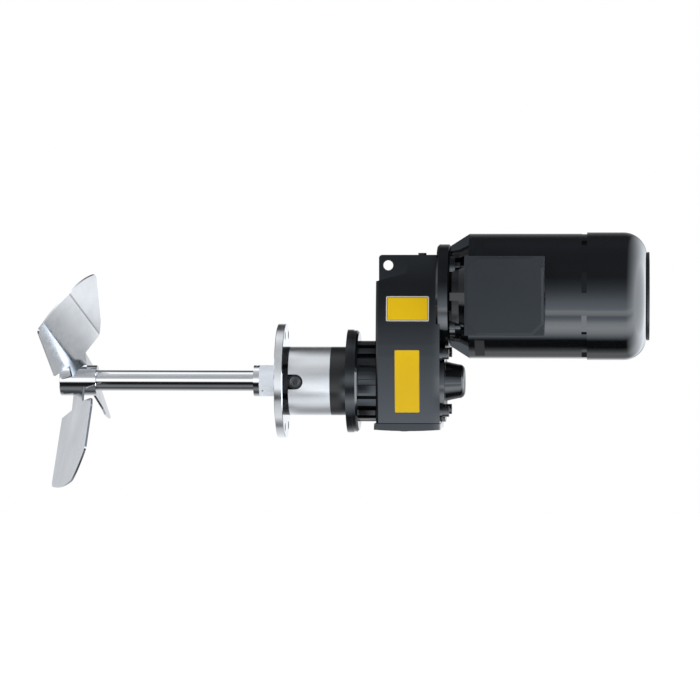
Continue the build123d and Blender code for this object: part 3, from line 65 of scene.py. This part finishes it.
# ---- staging ----
FLOOR_Z = -0.52
FLOOR_SIZE = 9.0
FLOOR_TONES = ((0.92, 0.92, 0.92), (0.935, 0.935, 0.935))
FLOOR_GLOW = 0.62
WORLD_LEVELS = (0.45, 1.0)         # as it lights diffuse surfaces, and as it is seen or reflected
LAMP_AIM = (0.15, 0.0, 0.05)
LAMPS = (                          # name, place, size, power
    ("key", (-0.6, -1.6, 2.0), (1.6, 1.0), 30.0),
    ("fill", (1.8, -2.4, 0.9), (1.2, 1.2), 14.0),
    ("back", (0.2, 1.8, 1.6), (2.0, 0.6), 12.0))

# ---- light tent ----
TENT_RADIUS, TENT_Z = 0.5, 0.06
TENT_X = (-1.4, 1.4)
TENT_SIDES = 96
TENT_LEVEL = 7.0                   # level of a panel at the top of a ramp's range
TENT_BLEND = 0.006                 # half of the stretch over which one zone passes into the next
TENT_GREY_LEVEL = 3.2              # panels under this level are cool, brighter ones grey
TENT_BACK = 100                    # panels beyond this angle, which the blades show, are clean in every zone
COOL, GREY, CLEAN = (0.76, 0.87, 1.0), (0.88, 0.94, 1.0), (0.94, 0.97, 1.0)
TENT_END_X = (0.62, 1.15)          # the last zone brightens along this stretch, to the panel that closes it
TENT_END_LEVEL = 6.5
# The back panels that both zones round the gear unit and the motor share, for the folds of the front blade.
TENT_FOLDS = [(-180, 1.2), (-175, 1.15), (-172, 0.45), (-166, 0.45), (-162, 1.2), (-154, 1.2), (-150, 0.5),
              (-136, 0.5)]
# Panels of the tent by zone along X: where a zone starts, its kind of tint, then (angle, level) of its
# panels, in degrees from the camera's side: up is positive, and 180 is behind the object.
# The levels were set part by part, after tones read off the photograph, so that highlights fall
# where it shows them. Those for paint go well over 1.
TENT_ZONES = [
    (-1.4, "steel", [
        (-180, 0.8), (-150, 0.85), (-130, 0.8), (-115, 0.45), (-105, 0.3), (-95, 0.08), (-85, 0.08),
        (-70, 0.25), (-58, 0.22), (-47, 0.05), (-42, 0.01), (-22, 0.01), (-18, 0.5), (-14, 1.3),
        (-9, 1.75), (7, 1.75), (12, 1.0), (18, 0.75), (27, 0.55), (41, 0.48), (66, 0.7), (76, 0.95),
        (88, 1.6), (100, 1.5), (115, 0.6), (125, 0.2), (135, 0.03), (152, 0.03), (166, 0.5),
        (180, 0.8)]),
    (-0.05, "steel", [
        (-180, 1.15), (-150, 1.1), (-128, 1.1), (-112, 0.9), (-101, 0.75), (-92, 0.25), (-84, 0.4),
        (-72, 1.05), (-60, 0.95), (-48, 0.8), (-42, 0.6), (-37, 0.08), (-32, 0.1), (-25, 0.6),
        (-19, 1.3), (-8, 1.25), (4, 1.0), (20, 0.75), (38, 0.56), (58, 0.62), (75, 0.8), (90, 1.05),
        (104, 0.9), (113, 0.6), (124, 0.1), (150, 0.06), (166, 0.6), (180, 1.15)]),
    (-0.012, "steel", [
        (-180, 1.15), (-150, 1.0), (-125, 0.6), (-112, 0.42), (-98, 0.5), (-86, 0.9), (-72, 1.1),
        (-60, 0.95), (-50, 0.62), (-43, 0.8), (-35, 1.45), (-20, 1.35), (-10, 1.0), (2, 0.75),
        (16, 0.6), (36, 0.62), (52, 0.8), (66, 0.98), (84, 0.98), (96, 0.7), (106, 0.45), (120, 0.2),
        (132, 0.1), (150, 0.08), (166, 0.6), (180, 1.15)]),
    (0.072, "paint", [
        (-180, 1.2), (-150, 1.2), (-122, 0.8), (-104, 0.2), (-80, 0.1), (-68, 1.2), (-56, 2.6),
        (-46, 3.4), (-38, 2.2), (-28, 0.5), (-20, 0.35), (-12, 1.6), (-4, 2.4), (4, 2.0), (12, 0.9),
        (24, 0.4), (42, 0.25), (60, 0.5), (76, 0.9), (90, 0.5), (110, 0.15), (150, 0.1), (166, 0.7),
        (180, 1.2)]),
    (0.118, "paint", TENT_FOLDS + [
        (-122, 1.2), (-105, 1.0), (-80, 1.2), (-60, 2.4), (-48, 3.0), (-38, 3.0), (-26, 2.45),
        (-17, 2.1), (-7, 1.65), (2, 1.1), (12, 0.62), (21, 0.36), (30, 0.28), (42, 0.5), (66, 0.3),
        (110, 0.1), (150, 0.1), (166, 0.7), (180, 1.2)]),
    (0.228, "paint", TENT_FOLDS + [
        (-122, 0.8), (-100, 0.0), (-80, 0.0), (-76, 0.6), (-72, 1.6), (-60, 3.9), (-50, 5.0),
        (-40, 4.4), (-32, 2.6), (-27, 2.0), (-23, 3.6), (-17, 4.2), (-14, 3.1), (-9, 2.7), (-1, 2.3),
        (10, 1.45), (19, 0.85), (28, 0.5), (38, 0.22), (94, 0.2), (120, 0.05), (166, 0.6), (180, 1.2)]),
]

# ---- bare plates on the gearcase ----
CASE_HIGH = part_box("gearcase")[1]
CASE_SIDE = ((0.0570, 0.25915), (0.0690, 0.1135), (0.0480, 0.0))  # bellied side: half width, depth under top
PLATE_T = 0.0008
PLATE_SUNK = 0.0004                # how far a plate's rim reaches into the case
PLATE_BEVEL = 0.0002
PLATE_STEP = 0.0001                # drop from one printed band to the next
PLATE_LEAST_CORNER = 0.0003
PLATE_ROWS = 28
# A plate's ends from the rearmost point of the gearcase, its edges under the top, and its corner radius.
UPPER_PLATE = ((0.0843, 0.0158), (0.1030, 0.0620), 0.0035)
LOWER_PLATE = ((0.0703, 0.0310), (0.2425, 0.1450), 0.0020)
UPPER_BANDS = [(0.0016, "plate_black"), (0.0028, "plate_pale"), (0.0036, "plate_black")]
LOWER_BANDS = [(0.0009, "plate_black")]

# ---- port rims and sleeve screw ----
RING_TURNS = 48
SOCKET_RADIUS = 0.0050
RIM_HALF = 0.0007
RIM_SIDES = 10
RIM_SUNK = 0.34                    # share of a rim's half width that lies under the face
SOCKET_RIM_SHARE = 0.7             # the socket's rim beside the plug's
SLEEVE_SCREW_IN = 0.0053           # behind the sleeve's front end
SLEEVE_SCREW_TURN = 38.0           # degrees below the level of the axis
SLEEVE_SCREW_RADIUS = 0.0013
SLEEVE_SCREW_SECTION = [           # from its rim inward: offset from the radius, height over the sleeve
    (0.0, -0.0004), (0.0, 0.00005), (-0.0003, 0.0001), (-0.0006, 0.00005), (-0.0006, -0.0003),
    (-0.00128, -0.0003), (-0.00128, -0.0004)]


# ---- node helpers ----
def new_material(name):
    """Material with an emptied node tree, its principled shader and its output."""
    material = bpy.data.materials.new(name)
    material.use_nodes = True
    tree = material.node_tree
    tree.nodes.clear()
    output = tree.nodes.new("ShaderNodeOutputMaterial")
    shader = tree.nodes.new("ShaderNodeBsdfPrincipled")
    tree.links.new(shader.outputs["BSDF"], output.inputs["Surface"])
    return material, tree, shader


def coordinates(tree, scale=(1.0, 1.0, 1.0), turn=(0.0, 0.0, 0.0)):
    """Object coordinates, scaled and turned."""
    source = tree.nodes.new("ShaderNodeTexCoord")
    mapping = tree.nodes.new("ShaderNodeMapping")
    mapping.inputs["Scale"].default_value = scale
    mapping.inputs["Rotation"].default_value = turn
    tree.links.new(source.outputs["Object"], mapping.inputs["Vector"])
    return mapping.outputs["Vector"]


def noise(tree, vector, scale, detail=4.0, roughness=0.5):
    """Noise texture on the given coordinates."""
    node = tree.nodes.new("ShaderNodeTexNoise")
    node.inputs["Scale"].default_value = scale
    node.inputs["Detail"].default_value = detail
    node.inputs["Roughness"].default_value = roughness
    tree.links.new(vector, node.inputs["Vector"])
    return node.outputs["Fac"]


NOISE_START, NOISE_END = 0.3, 0.7          # span in which a noise has nearly all its values


def spread(tree, value, low, high, start=NOISE_START, end=NOISE_END):
    """Value from start..end spread to low..high."""
    node = tree.nodes.new("ShaderNodeMapRange")
    node.inputs["From Min"].default_value = start
    node.inputs["From Max"].default_value = end
    node.inputs["To Min"].default_value = low
    node.inputs["To Max"].default_value = high
    tree.links.new(value, node.inputs["Value"])
    return node.outputs["Result"]


def tones(tree, value, dark, light):
    """Colour between two tones by a noise value."""
    node = tree.nodes.new("ShaderNodeValToRGB")
    low, high = node.color_ramp.elements
    low.position, high.position = NOISE_START, NOISE_END
    low.color, high.color = (*dark, 1.0), (*light, 1.0)
    tree.links.new(value, node.inputs["Fac"])
    return node.outputs["Color"]


def bump(tree, height, distance):
    """Bump of a height field, in metres."""
    node = tree.nodes.new("ShaderNodeBump")
    node.inputs["Distance"].default_value = distance
    node.inputs["Strength"].default_value = 1.0
    tree.links.new(height, node.inputs["Height"])
    return node.outputs["Normal"]


def math_node(tree, operation, *values):
    """Math node on linked or constant values."""
    node = tree.nodes.new("ShaderNodeMath")
    node.operation = operation
    for socket, value in zip(node.inputs, values):
        if isinstance(value, float):
            socket.default_value = value
        else:
            tree.links.new(value, socket)
    return node.outputs[0]


def blend(tree, factor, first, second):
    """Colour mixed from a linked first one to a linked or constant second one by factor."""
    node = tree.nodes.new("ShaderNodeMix")
    node.data_type = "RGBA"
    # the colour sockets come after the float and vector ones of the same names
    inputs = {socket.identifier: socket for socket in node.inputs}
    outputs = {socket.identifier: socket for socket in node.outputs}
    tree.links.new(factor, inputs["Factor_Float"])
    tree.links.new(first, inputs["A_Color"])
    if isinstance(second, tuple):
        inputs["B_Color"].default_value = (*second, 1.0)
    else:
        tree.links.new(second, inputs["B_Color"])
    return outputs["Result_Color"]


# ---- materials ----
def steel(name, dark, light, roughness, grain, grain_depth, turn=(0.0, 0.0, 0.0), metallic=1.0):
    """Bright steel or alloy: soft tone clouds, and a grain that is long where grain is small."""
    material, tree, shader = new_material(name)
    clouds = noise(tree, coordinates(tree), 14.0, 3.0)
    lines = noise(tree, coordinates(tree, grain, turn), 1.0, 6.0, 0.6)
    tree.links.new(tones(tree, clouds, dark, light), shader.inputs["Base Color"])
    tree.links.new(spread(tree, lines, roughness * 0.8, roughness * 1.25), shader.inputs["Roughness"])
    tree.links.new(bump(tree, lines, grain_depth), shader.inputs["Normal"])
    shader.inputs["Metallic"].default_value = metallic
    return material


def paint(name, dark, light, roughness, peel, peel_depth, specular=0.5):
    """Sprayed paint: faint orange peel, uneven gloss and a slightly mottled tone."""
    material, tree, shader = new_material(name)
    clouds = noise(tree, coordinates(tree), 9.0, 4.0)
    skin = noise(tree, coordinates(tree), peel, 2.0)
    tree.links.new(tones(tree, clouds, dark, light), shader.inputs["Base Color"])
    tree.links.new(spread(tree, clouds, roughness * 0.85, roughness * 1.15), shader.inputs["Roughness"])
    tree.links.new(bump(tree, skin, peel_depth), shader.inputs["Normal"])
    shader.inputs["Specular IOR Level"].default_value = specular
    return material


ALONG_X = (30.0, 900.0, 900.0)
ROUND_X = (1800.0, 60.0, 60.0)
EVEN = (500.0, 500.0, 500.0)

MATERIALS = {
    "polished_steel": steel("polished_steel", (0.64, 0.65, 0.67), (0.70, 0.71, 0.73), 0.07, ALONG_X,
                            0.000002),
    "blade_steel": steel("blade_steel", (0.62, 0.63, 0.65), (0.74, 0.75, 0.77), 0.14,
                         (25.0, 120.0, 120.0), 0.000002, (0.0, 0.5, 0.6)),
    "satin_steel": steel("satin_steel", (0.66, 0.67, 0.69), (0.70, 0.71, 0.73), 0.10, ROUND_X, 0.000001),
    "satin_alloy": steel("satin_alloy", (0.65, 0.66, 0.68), (0.70, 0.71, 0.73), 0.17, EVEN, 0.000003),
    "charcoal_paint": paint("charcoal_paint", (0.0025, 0.0028, 0.0032), (0.0035, 0.0039, 0.0045), 0.07, 120.0,
                            0.000004, 0.5),
    "black_coating": paint("black_coating", (0.005, 0.005, 0.006), (0.004, 0.004, 0.005), 0.12, 900.0,
                           0.000002, 0.25),
    "cap_plastic": paint("cap_plastic", (0.004, 0.004, 0.005), (0.006, 0.006, 0.007), 0.12, 300.0,
                         0.000003, 0.45),
    "box_plastic": paint("box_plastic", (0.014, 0.017, 0.020), (0.018, 0.021, 0.025), 0.5, 1600.0,
                         0.00001, 0.16),
    "grille_plastic": paint("grille_plastic", (0.006, 0.006, 0.007), (0.010, 0.010, 0.011), 0.45, 900.0,
                            0.00002, 0.3),
    "white_ptfe": paint("white_ptfe", (0.62, 0.66, 0.72), (0.68, 0.72, 0.78), 0.4, 700.0, 0.000005, 0.4),
    "carbon": paint("carbon", (0.02, 0.02, 0.022), (0.03, 0.03, 0.033), 0.3, 2000.0, 0.000005),
    "seal_rubber": paint("seal_rubber", (0.010, 0.010, 0.010), (0.016, 0.016, 0.016), 0.7, 1500.0, 0.00002),
    "black_screw": paint("black_screw", (0.008, 0.008, 0.009), (0.014, 0.014, 0.015), 0.2, 1200.0,
                         0.000004, 0.5),
    "gear_steel": steel("gear_steel", (0.40, 0.40, 0.41), (0.50, 0.50, 0.51), 0.24, EVEN, 0.00001),
    "bearing_steel": steel("bearing_steel", (0.55, 0.55, 0.57), (0.64, 0.64, 0.66), 0.14, ROUND_X, 0.000005),
    "core_steel": steel("core_steel", (0.20, 0.20, 0.21), (0.30, 0.30, 0.31), 0.5, (2500.0, 40.0, 40.0),
                        0.00003, metallic=0.7),
    "copper": steel("copper", (0.45, 0.20, 0.08), (0.62, 0.30, 0.14), 0.35, ROUND_X, 0.00004),
    "block_plastic": paint("block_plastic", (0.42, 0.34, 0.22), (0.52, 0.44, 0.30), 0.5, 900.0, 0.00002),
    "fan_plastic": paint("fan_plastic", (0.020, 0.020, 0.022), (0.030, 0.030, 0.033), 0.45, 900.0, 0.00002),
    "plate_yellow": paint("plate_yellow", (0.54, 0.345, 0.002), (0.62, 0.40, 0.003), 0.3, 900.0,
                          0.000004, 0.12),
    "plate_black": paint("plate_black", (0.006, 0.006, 0.007), (0.009, 0.009, 0.010), 0.3, 900.0, 0.000004),
    "plate_pale": paint("plate_pale", (0.52, 0.50, 0.40), (0.60, 0.58, 0.48), 0.35, 900.0, 0.000004),
    "rim_finish": steel("rim_finish", (0.10, 0.10, 0.11), (0.16, 0.16, 0.17), 0.18, EVEN, 0.000002),
}


def dress_nodes():
    """Gives every CAD node the material of its slot."""
    for part in frame["record"]["subparts"]:
        name = part["node"]
        slot = "blade_steel" if name.startswith("blade_") else part["material_slot"]
        mesh = NODES[name].data
        mesh.materials.clear()
        mesh.materials.append(MATERIALS[slot])


dress_nodes()


# ---- pieces ----
def new_piece(name, mesh, materials, body):
    """Object of a bmesh, which it frees, riding a body."""
    bmesh.ops.recalc_face_normals(mesh, faces=mesh.faces)
    data = bpy.data.meshes.new(name)
    mesh.to_mesh(data)
    mesh.free()
    for material in materials:
        data.materials.append(MATERIALS[material])
    obj = bpy.data.objects.new(name, data)
    bpy.context.scene.collection.objects.link(obj)
    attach(obj, body)


def arc_centre(points):
    """Centre (y, z) and radius of the circle through three points."""
    (ay, az), (by, bz), (cy, cz) = points
    turn = 2 * (ay * (bz - cz) + by * (cz - az) + cy * (az - bz))
    a, b, c = (y * y + z * z for y, z in points)
    y = (a * (bz - cz) + b * (cz - az) + c * (az - bz)) / turn
    z = (a * (cy - by) + b * (ay - cy) + c * (by - ay)) / turn
    return y, z, hypot(ay - y, az - z)


def plate_bands(bands, field):
    """Loops (inset, rise, material) of a plate; each band is (inset where it ends, material)."""
    first = bands[0][1]
    rise = PLATE_T
    loops = [(0.0, -PLATE_SUNK, first), (0.0, rise - PLATE_BEVEL, first), (PLATE_BEVEL, rise, first)]
    for (end, material), (_, following) in zip(bands, bands[1:] + [(None, field)]):
        loops.append((end, rise, material))
        rise -= PLATE_STEP
        loops.append((end + PLATE_STEP, rise, following))
    return loops


def side_plate(name, place, bands, field):
    """Plate with round corners bent over the case's bellied side."""
    x_range = [CASE_HIGH.x - ahead for ahead in place[0]]
    z_range = [CASE_HIGH.z - down for down in place[1]]
    corner = place[2]
    centre_y, centre_z, radius = arc_centre([(-half, CASE_HIGH.z - down) for half, down in CASE_SIDE])
    mid_x, mid_z = sum(x_range) / 2, sum(z_range) / 2
    mesh = bmesh.new()
    loops = plate_bands(bands, field)
    materials = list(dict.fromkeys(material for _, _, material in loops))
    edges = []
    for inset, rise, _ in loops:
        half_x = (x_range[1] - x_range[0]) / 2 - inset
        half_z = (z_range[1] - z_range[0]) / 2 - inset
        turn = max(corner - inset, PLATE_LEAST_CORNER)
        left, right = [], []
        for n in range(PLATE_ROWS + 1):
            z = -half_z * cos(pi * n / PLATE_ROWS)
            over = max(abs(z) - (half_z - turn), 0.0)
            half = half_x - turn + max(turn * turn - over * over, 0.0) ** 0.5
            y = centre_y - ((radius + rise) ** 2 - (mid_z + z - centre_z) ** 2) ** 0.5
            left.append(mesh.verts.new((mid_x - half, y, mid_z + z)))
            right.append(mesh.verts.new((mid_x + half, y, mid_z + z)))
        edges.append((left, right))
    for outer, inner, (_, _, material) in zip(edges, edges[1:], loops[1:]):
        index = materials.index(material)
        round_outer = outer[0] + outer[1][::-1]
        round_inner = inner[0] + inner[1][::-1]
        for n in range(len(round_outer)):
            m = (n + 1) % len(round_outer)
            corners = (round_outer[n], round_inner[n], round_inner[m], round_outer[m])
            mesh.faces.new(corners).material_index = index
    left, right = edges[-1]
    for n in range(PLATE_ROWS):
        corners = (left[n], right[n], right[n + 1], left[n + 1])
        mesh.faces.new(corners).material_index = materials.index(field)
    new_piece(name, mesh, materials, "housing")


def ring(name, place, normal, radius, section, material, body):
    """Ring turned about the normal at a place; its closed section is (offset from the radius, height)."""
    mesh = bmesh.new()
    basis = Vector(normal).to_track_quat("Z", "Y").to_matrix()
    loops = []
    for over, rise in section:
        turns = [2 * pi * n / RING_TURNS for n in range(RING_TURNS)]
        points = [Vector(((radius + over) * cos(turn), (radius + over) * sin(turn), rise)) for turn in turns]
        loops.append([mesh.verts.new(Vector(place) + basis @ point) for point in points])
    for first, second in zip(loops, loops[1:] + loops[:1]):
        for n in range(RING_TURNS):
            m = (n + 1) % RING_TURNS
            mesh.faces.new((first[n], first[m], second[m], second[n])).smooth = True
    new_piece(name, mesh, [material], body)


def rim_section(half):
    """Round section of a rim, partly sunk."""
    turns = [2 * pi * n / RIM_SIDES for n in range(RIM_SIDES)]
    return [(half * cos(turn), half * (sin(turn) - RIM_SUNK)) for turn in turns]


def port_rims():
    """Rolled rims of both flush port plugs and of their sockets."""
    low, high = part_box("flush_port_plugs")
    middle = (low + high) / 2
    plug_radius = (high.x - low.x) / 2
    for side, y, out in (("near", low.y, -1.0), ("far", high.y, 1.0)):
        place, normal = (middle.x, y, middle.z), (0.0, out, 0.0)
        ring("port_rim_" + side, place, normal, plug_radius - RIM_HALF, rim_section(RIM_HALF), "rim_finish",
             "housing")
        ring("port_socket_rim_" + side, place, normal, SOCKET_RADIUS,
             rim_section(RIM_HALF * SOCKET_RIM_SHARE), "rim_finish", "housing")


def sleeve_screw():
    """Set screw sunk in the seal sleeve, low on the near side."""
    low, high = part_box("seal_sleeve")
    middle = (low + high) / 2
    turn = radians(SLEEVE_SCREW_TURN)
    out = Vector((0.0, -cos(turn), -sin(turn)))
    place = Vector((low.x + SLEEVE_SCREW_IN, middle.y, middle.z)) + (high.z - low.z) / 2 * out
    ring("sleeve_screw", place, out, SLEEVE_SCREW_RADIUS, SLEEVE_SCREW_SECTION, "black_screw", "output")


side_plate("upper_plate", UPPER_PLATE, UPPER_BANDS, "plate_yellow")
side_plate("lower_plate", LOWER_PLATE, LOWER_BANDS, "plate_yellow")
port_rims()
sleeve_screw()


# ---- staging ----
def floor():
    """Large pale floor."""
    half = FLOOR_SIZE / 2
    mesh = bpy.data.meshes.new("floor")
    mesh.from_pydata([(-half, -half, FLOOR_Z), (half, -half, FLOOR_Z), (half, half, FLOOR_Z),
                      (-half, half, FLOOR_Z)], [], [(0, 1, 2, 3)])
    obj = bpy.data.objects.new("floor", mesh)
    bpy.context.scene.collection.objects.link(obj)
    material, tree, shader = new_material("floor")
    mottle = noise(tree, coordinates(tree), 1.5)
    colour = tones(tree, mottle, *FLOOR_TONES)
    tree.links.new(colour, shader.inputs["Base Color"])
    shader.inputs["Roughness"].default_value = 0.8
    shader.inputs["Emission Color"].default_value = (1.0, 1.0, 1.0, 1.0)
    shader.inputs["Emission Strength"].default_value = FLOOR_GLOW
    mesh.materials.append(material)


def world():
    """White surroundings, which light diffuse surfaces less than they show."""
    scene_world = bpy.data.worlds.new("studio")
    bpy.context.scene.world = scene_world
    scene_world.use_nodes = True
    tree = scene_world.node_tree
    background = tree.nodes["Background"]
    path = tree.nodes.new("ShaderNodeLightPath")
    glossy = math_node(tree, "MAXIMUM", path.outputs["Is Glossy Ray"], path.outputs["Is Transmission Ray"])
    seen = math_node(tree, "MAXIMUM", path.outputs["Is Camera Ray"], glossy)
    tree.links.new(spread(tree, seen, *WORLD_LEVELS, 0.0, 1.0), background.inputs["Strength"])
    background.inputs["Color"].default_value = (1.0, 1.0, 1.0, 1.0)


def tone_ramp(tree, value, kind, stops):
    """Ramp of a turn from 0 to 1, which is -180 to 180 degrees; each stop is (angle, level)."""
    node = tree.nodes.new("ShaderNodeValToRGB")
    elements = node.color_ramp.elements
    while len(elements) < len(stops):
        elements.new(0.5)
    for element, (angle, level) in zip(elements, stops):
        if kind == "steel" or abs(angle) > TENT_BACK:
            tint = CLEAN
        else:
            tint = COOL if level < TENT_GREY_LEVEL else GREY
        element.position = (angle + 180.0) / 360.0
        element.color = (*(level / TENT_LEVEL * part for part in tint), 1.0)
    tree.links.new(value, node.inputs["Fac"])
    return node.outputs["Color"]


def tent():
    """Light tent round the X axis, seen in reflections only, closed at the motor's end and open at the other."""
    count = TENT_SIDES
    turns = [2 * pi * n / count for n in range(count)]
    verts = [(x, TENT_RADIUS * cos(turn), TENT_Z + TENT_RADIUS * sin(turn)) for x in TENT_X for turn in turns]
    faces = [(n, (n + 1) % count, count + (n + 1) % count, count + n) for n in range(count)]
    faces.append(tuple(range(count, 2 * count)))
    mesh = bpy.data.meshes.new("tent")
    mesh.from_pydata(verts, [], faces)
    obj = bpy.data.objects.new("tent", mesh)
    bpy.context.scene.collection.objects.link(obj)
    material = bpy.data.materials.new("tent")
    material.use_nodes = True
    tree = material.node_tree
    tree.nodes.clear()
    output = tree.nodes.new("ShaderNodeOutputMaterial")
    glow = tree.nodes.new("ShaderNodeEmission")
    glow.inputs["Strength"].default_value = TENT_LEVEL
    tree.links.new(glow.outputs["Emission"], output.inputs["Surface"])
    source = tree.nodes.new("ShaderNodeTexCoord")
    split = tree.nodes.new("ShaderNodeSeparateXYZ")
    tree.links.new(source.outputs["Object"], split.inputs["Vector"])
    height = math_node(tree, "SUBTRACT", split.outputs["Z"], TENT_Z)
    front = math_node(tree, "MULTIPLY", split.outputs["Y"], -1.0)
    turn = spread(tree, math_node(tree, "ARCTAN2", height, front), 0.0, 1.0, -pi, pi)
    along = split.outputs["X"]
    colour = tone_ramp(tree, turn, *TENT_ZONES[0][1:])
    for start, kind, stops in TENT_ZONES[1:]:
        passed = spread(tree, along, 0.0, 1.0, start - TENT_BLEND, start + TENT_BLEND)
        colour = blend(tree, passed, colour, tone_ramp(tree, turn, kind, stops))
    end = tuple(TENT_END_LEVEL / TENT_LEVEL * part for part in GREY)
    colour = blend(tree, spread(tree, along, 0.0, 1.0, *TENT_END_X), colour, end)
    tree.links.new(colour, glow.inputs["Color"])
    mesh.materials.append(material)
    obj.visible_camera = obj.visible_diffuse = obj.visible_shadow = False


def softbox(name, place, size, power):
    """Rectangular lamp at a place, aimed at the object."""
    lamp = bpy.data.lights.new(name, "AREA")
    lamp.shape = "RECTANGLE"
    lamp.size, lamp.size_y = size
    lamp.energy = power
    obj = bpy.data.objects.new(name, lamp)
    bpy.context.scene.collection.objects.link(obj)
    obj.location = place
    obj.rotation_euler = (Vector(LAMP_AIM) - Vector(place)).to_track_quat("-Z", "Y").to_euler()
    obj.visible_camera = False


def camera():
    """Upright camera at the photograph's viewing angle, aimed at the target."""
    back = Vector((sin(CAMERA_AZIMUTH) * cos(CAMERA_ELEVATION), -cos(CAMERA_AZIMUTH) * cos(CAMERA_ELEVATION),
                   sin(CAMERA_ELEVATION)))
    data = bpy.data.cameras.new("camera")
    data.lens, data.sensor_width = CAMERA_LENS, SENSOR
    data.clip_end = 50.0
    obj = bpy.data.objects.new("camera", data)
    bpy.context.scene.collection.objects.link(obj)
    obj.location = CAMERA_TARGET + CAMERA_DISTANCE * back
    obj.rotation_euler = (-back).to_track_quat("-Z", "Y").to_euler()
    bpy.context.scene.camera = obj


floor()
world()
tent()
for lamp_row in LAMPS:
    softbox(*lamp_row)
camera()
bpy.context.scene.view_settings.view_transform = "Standard"
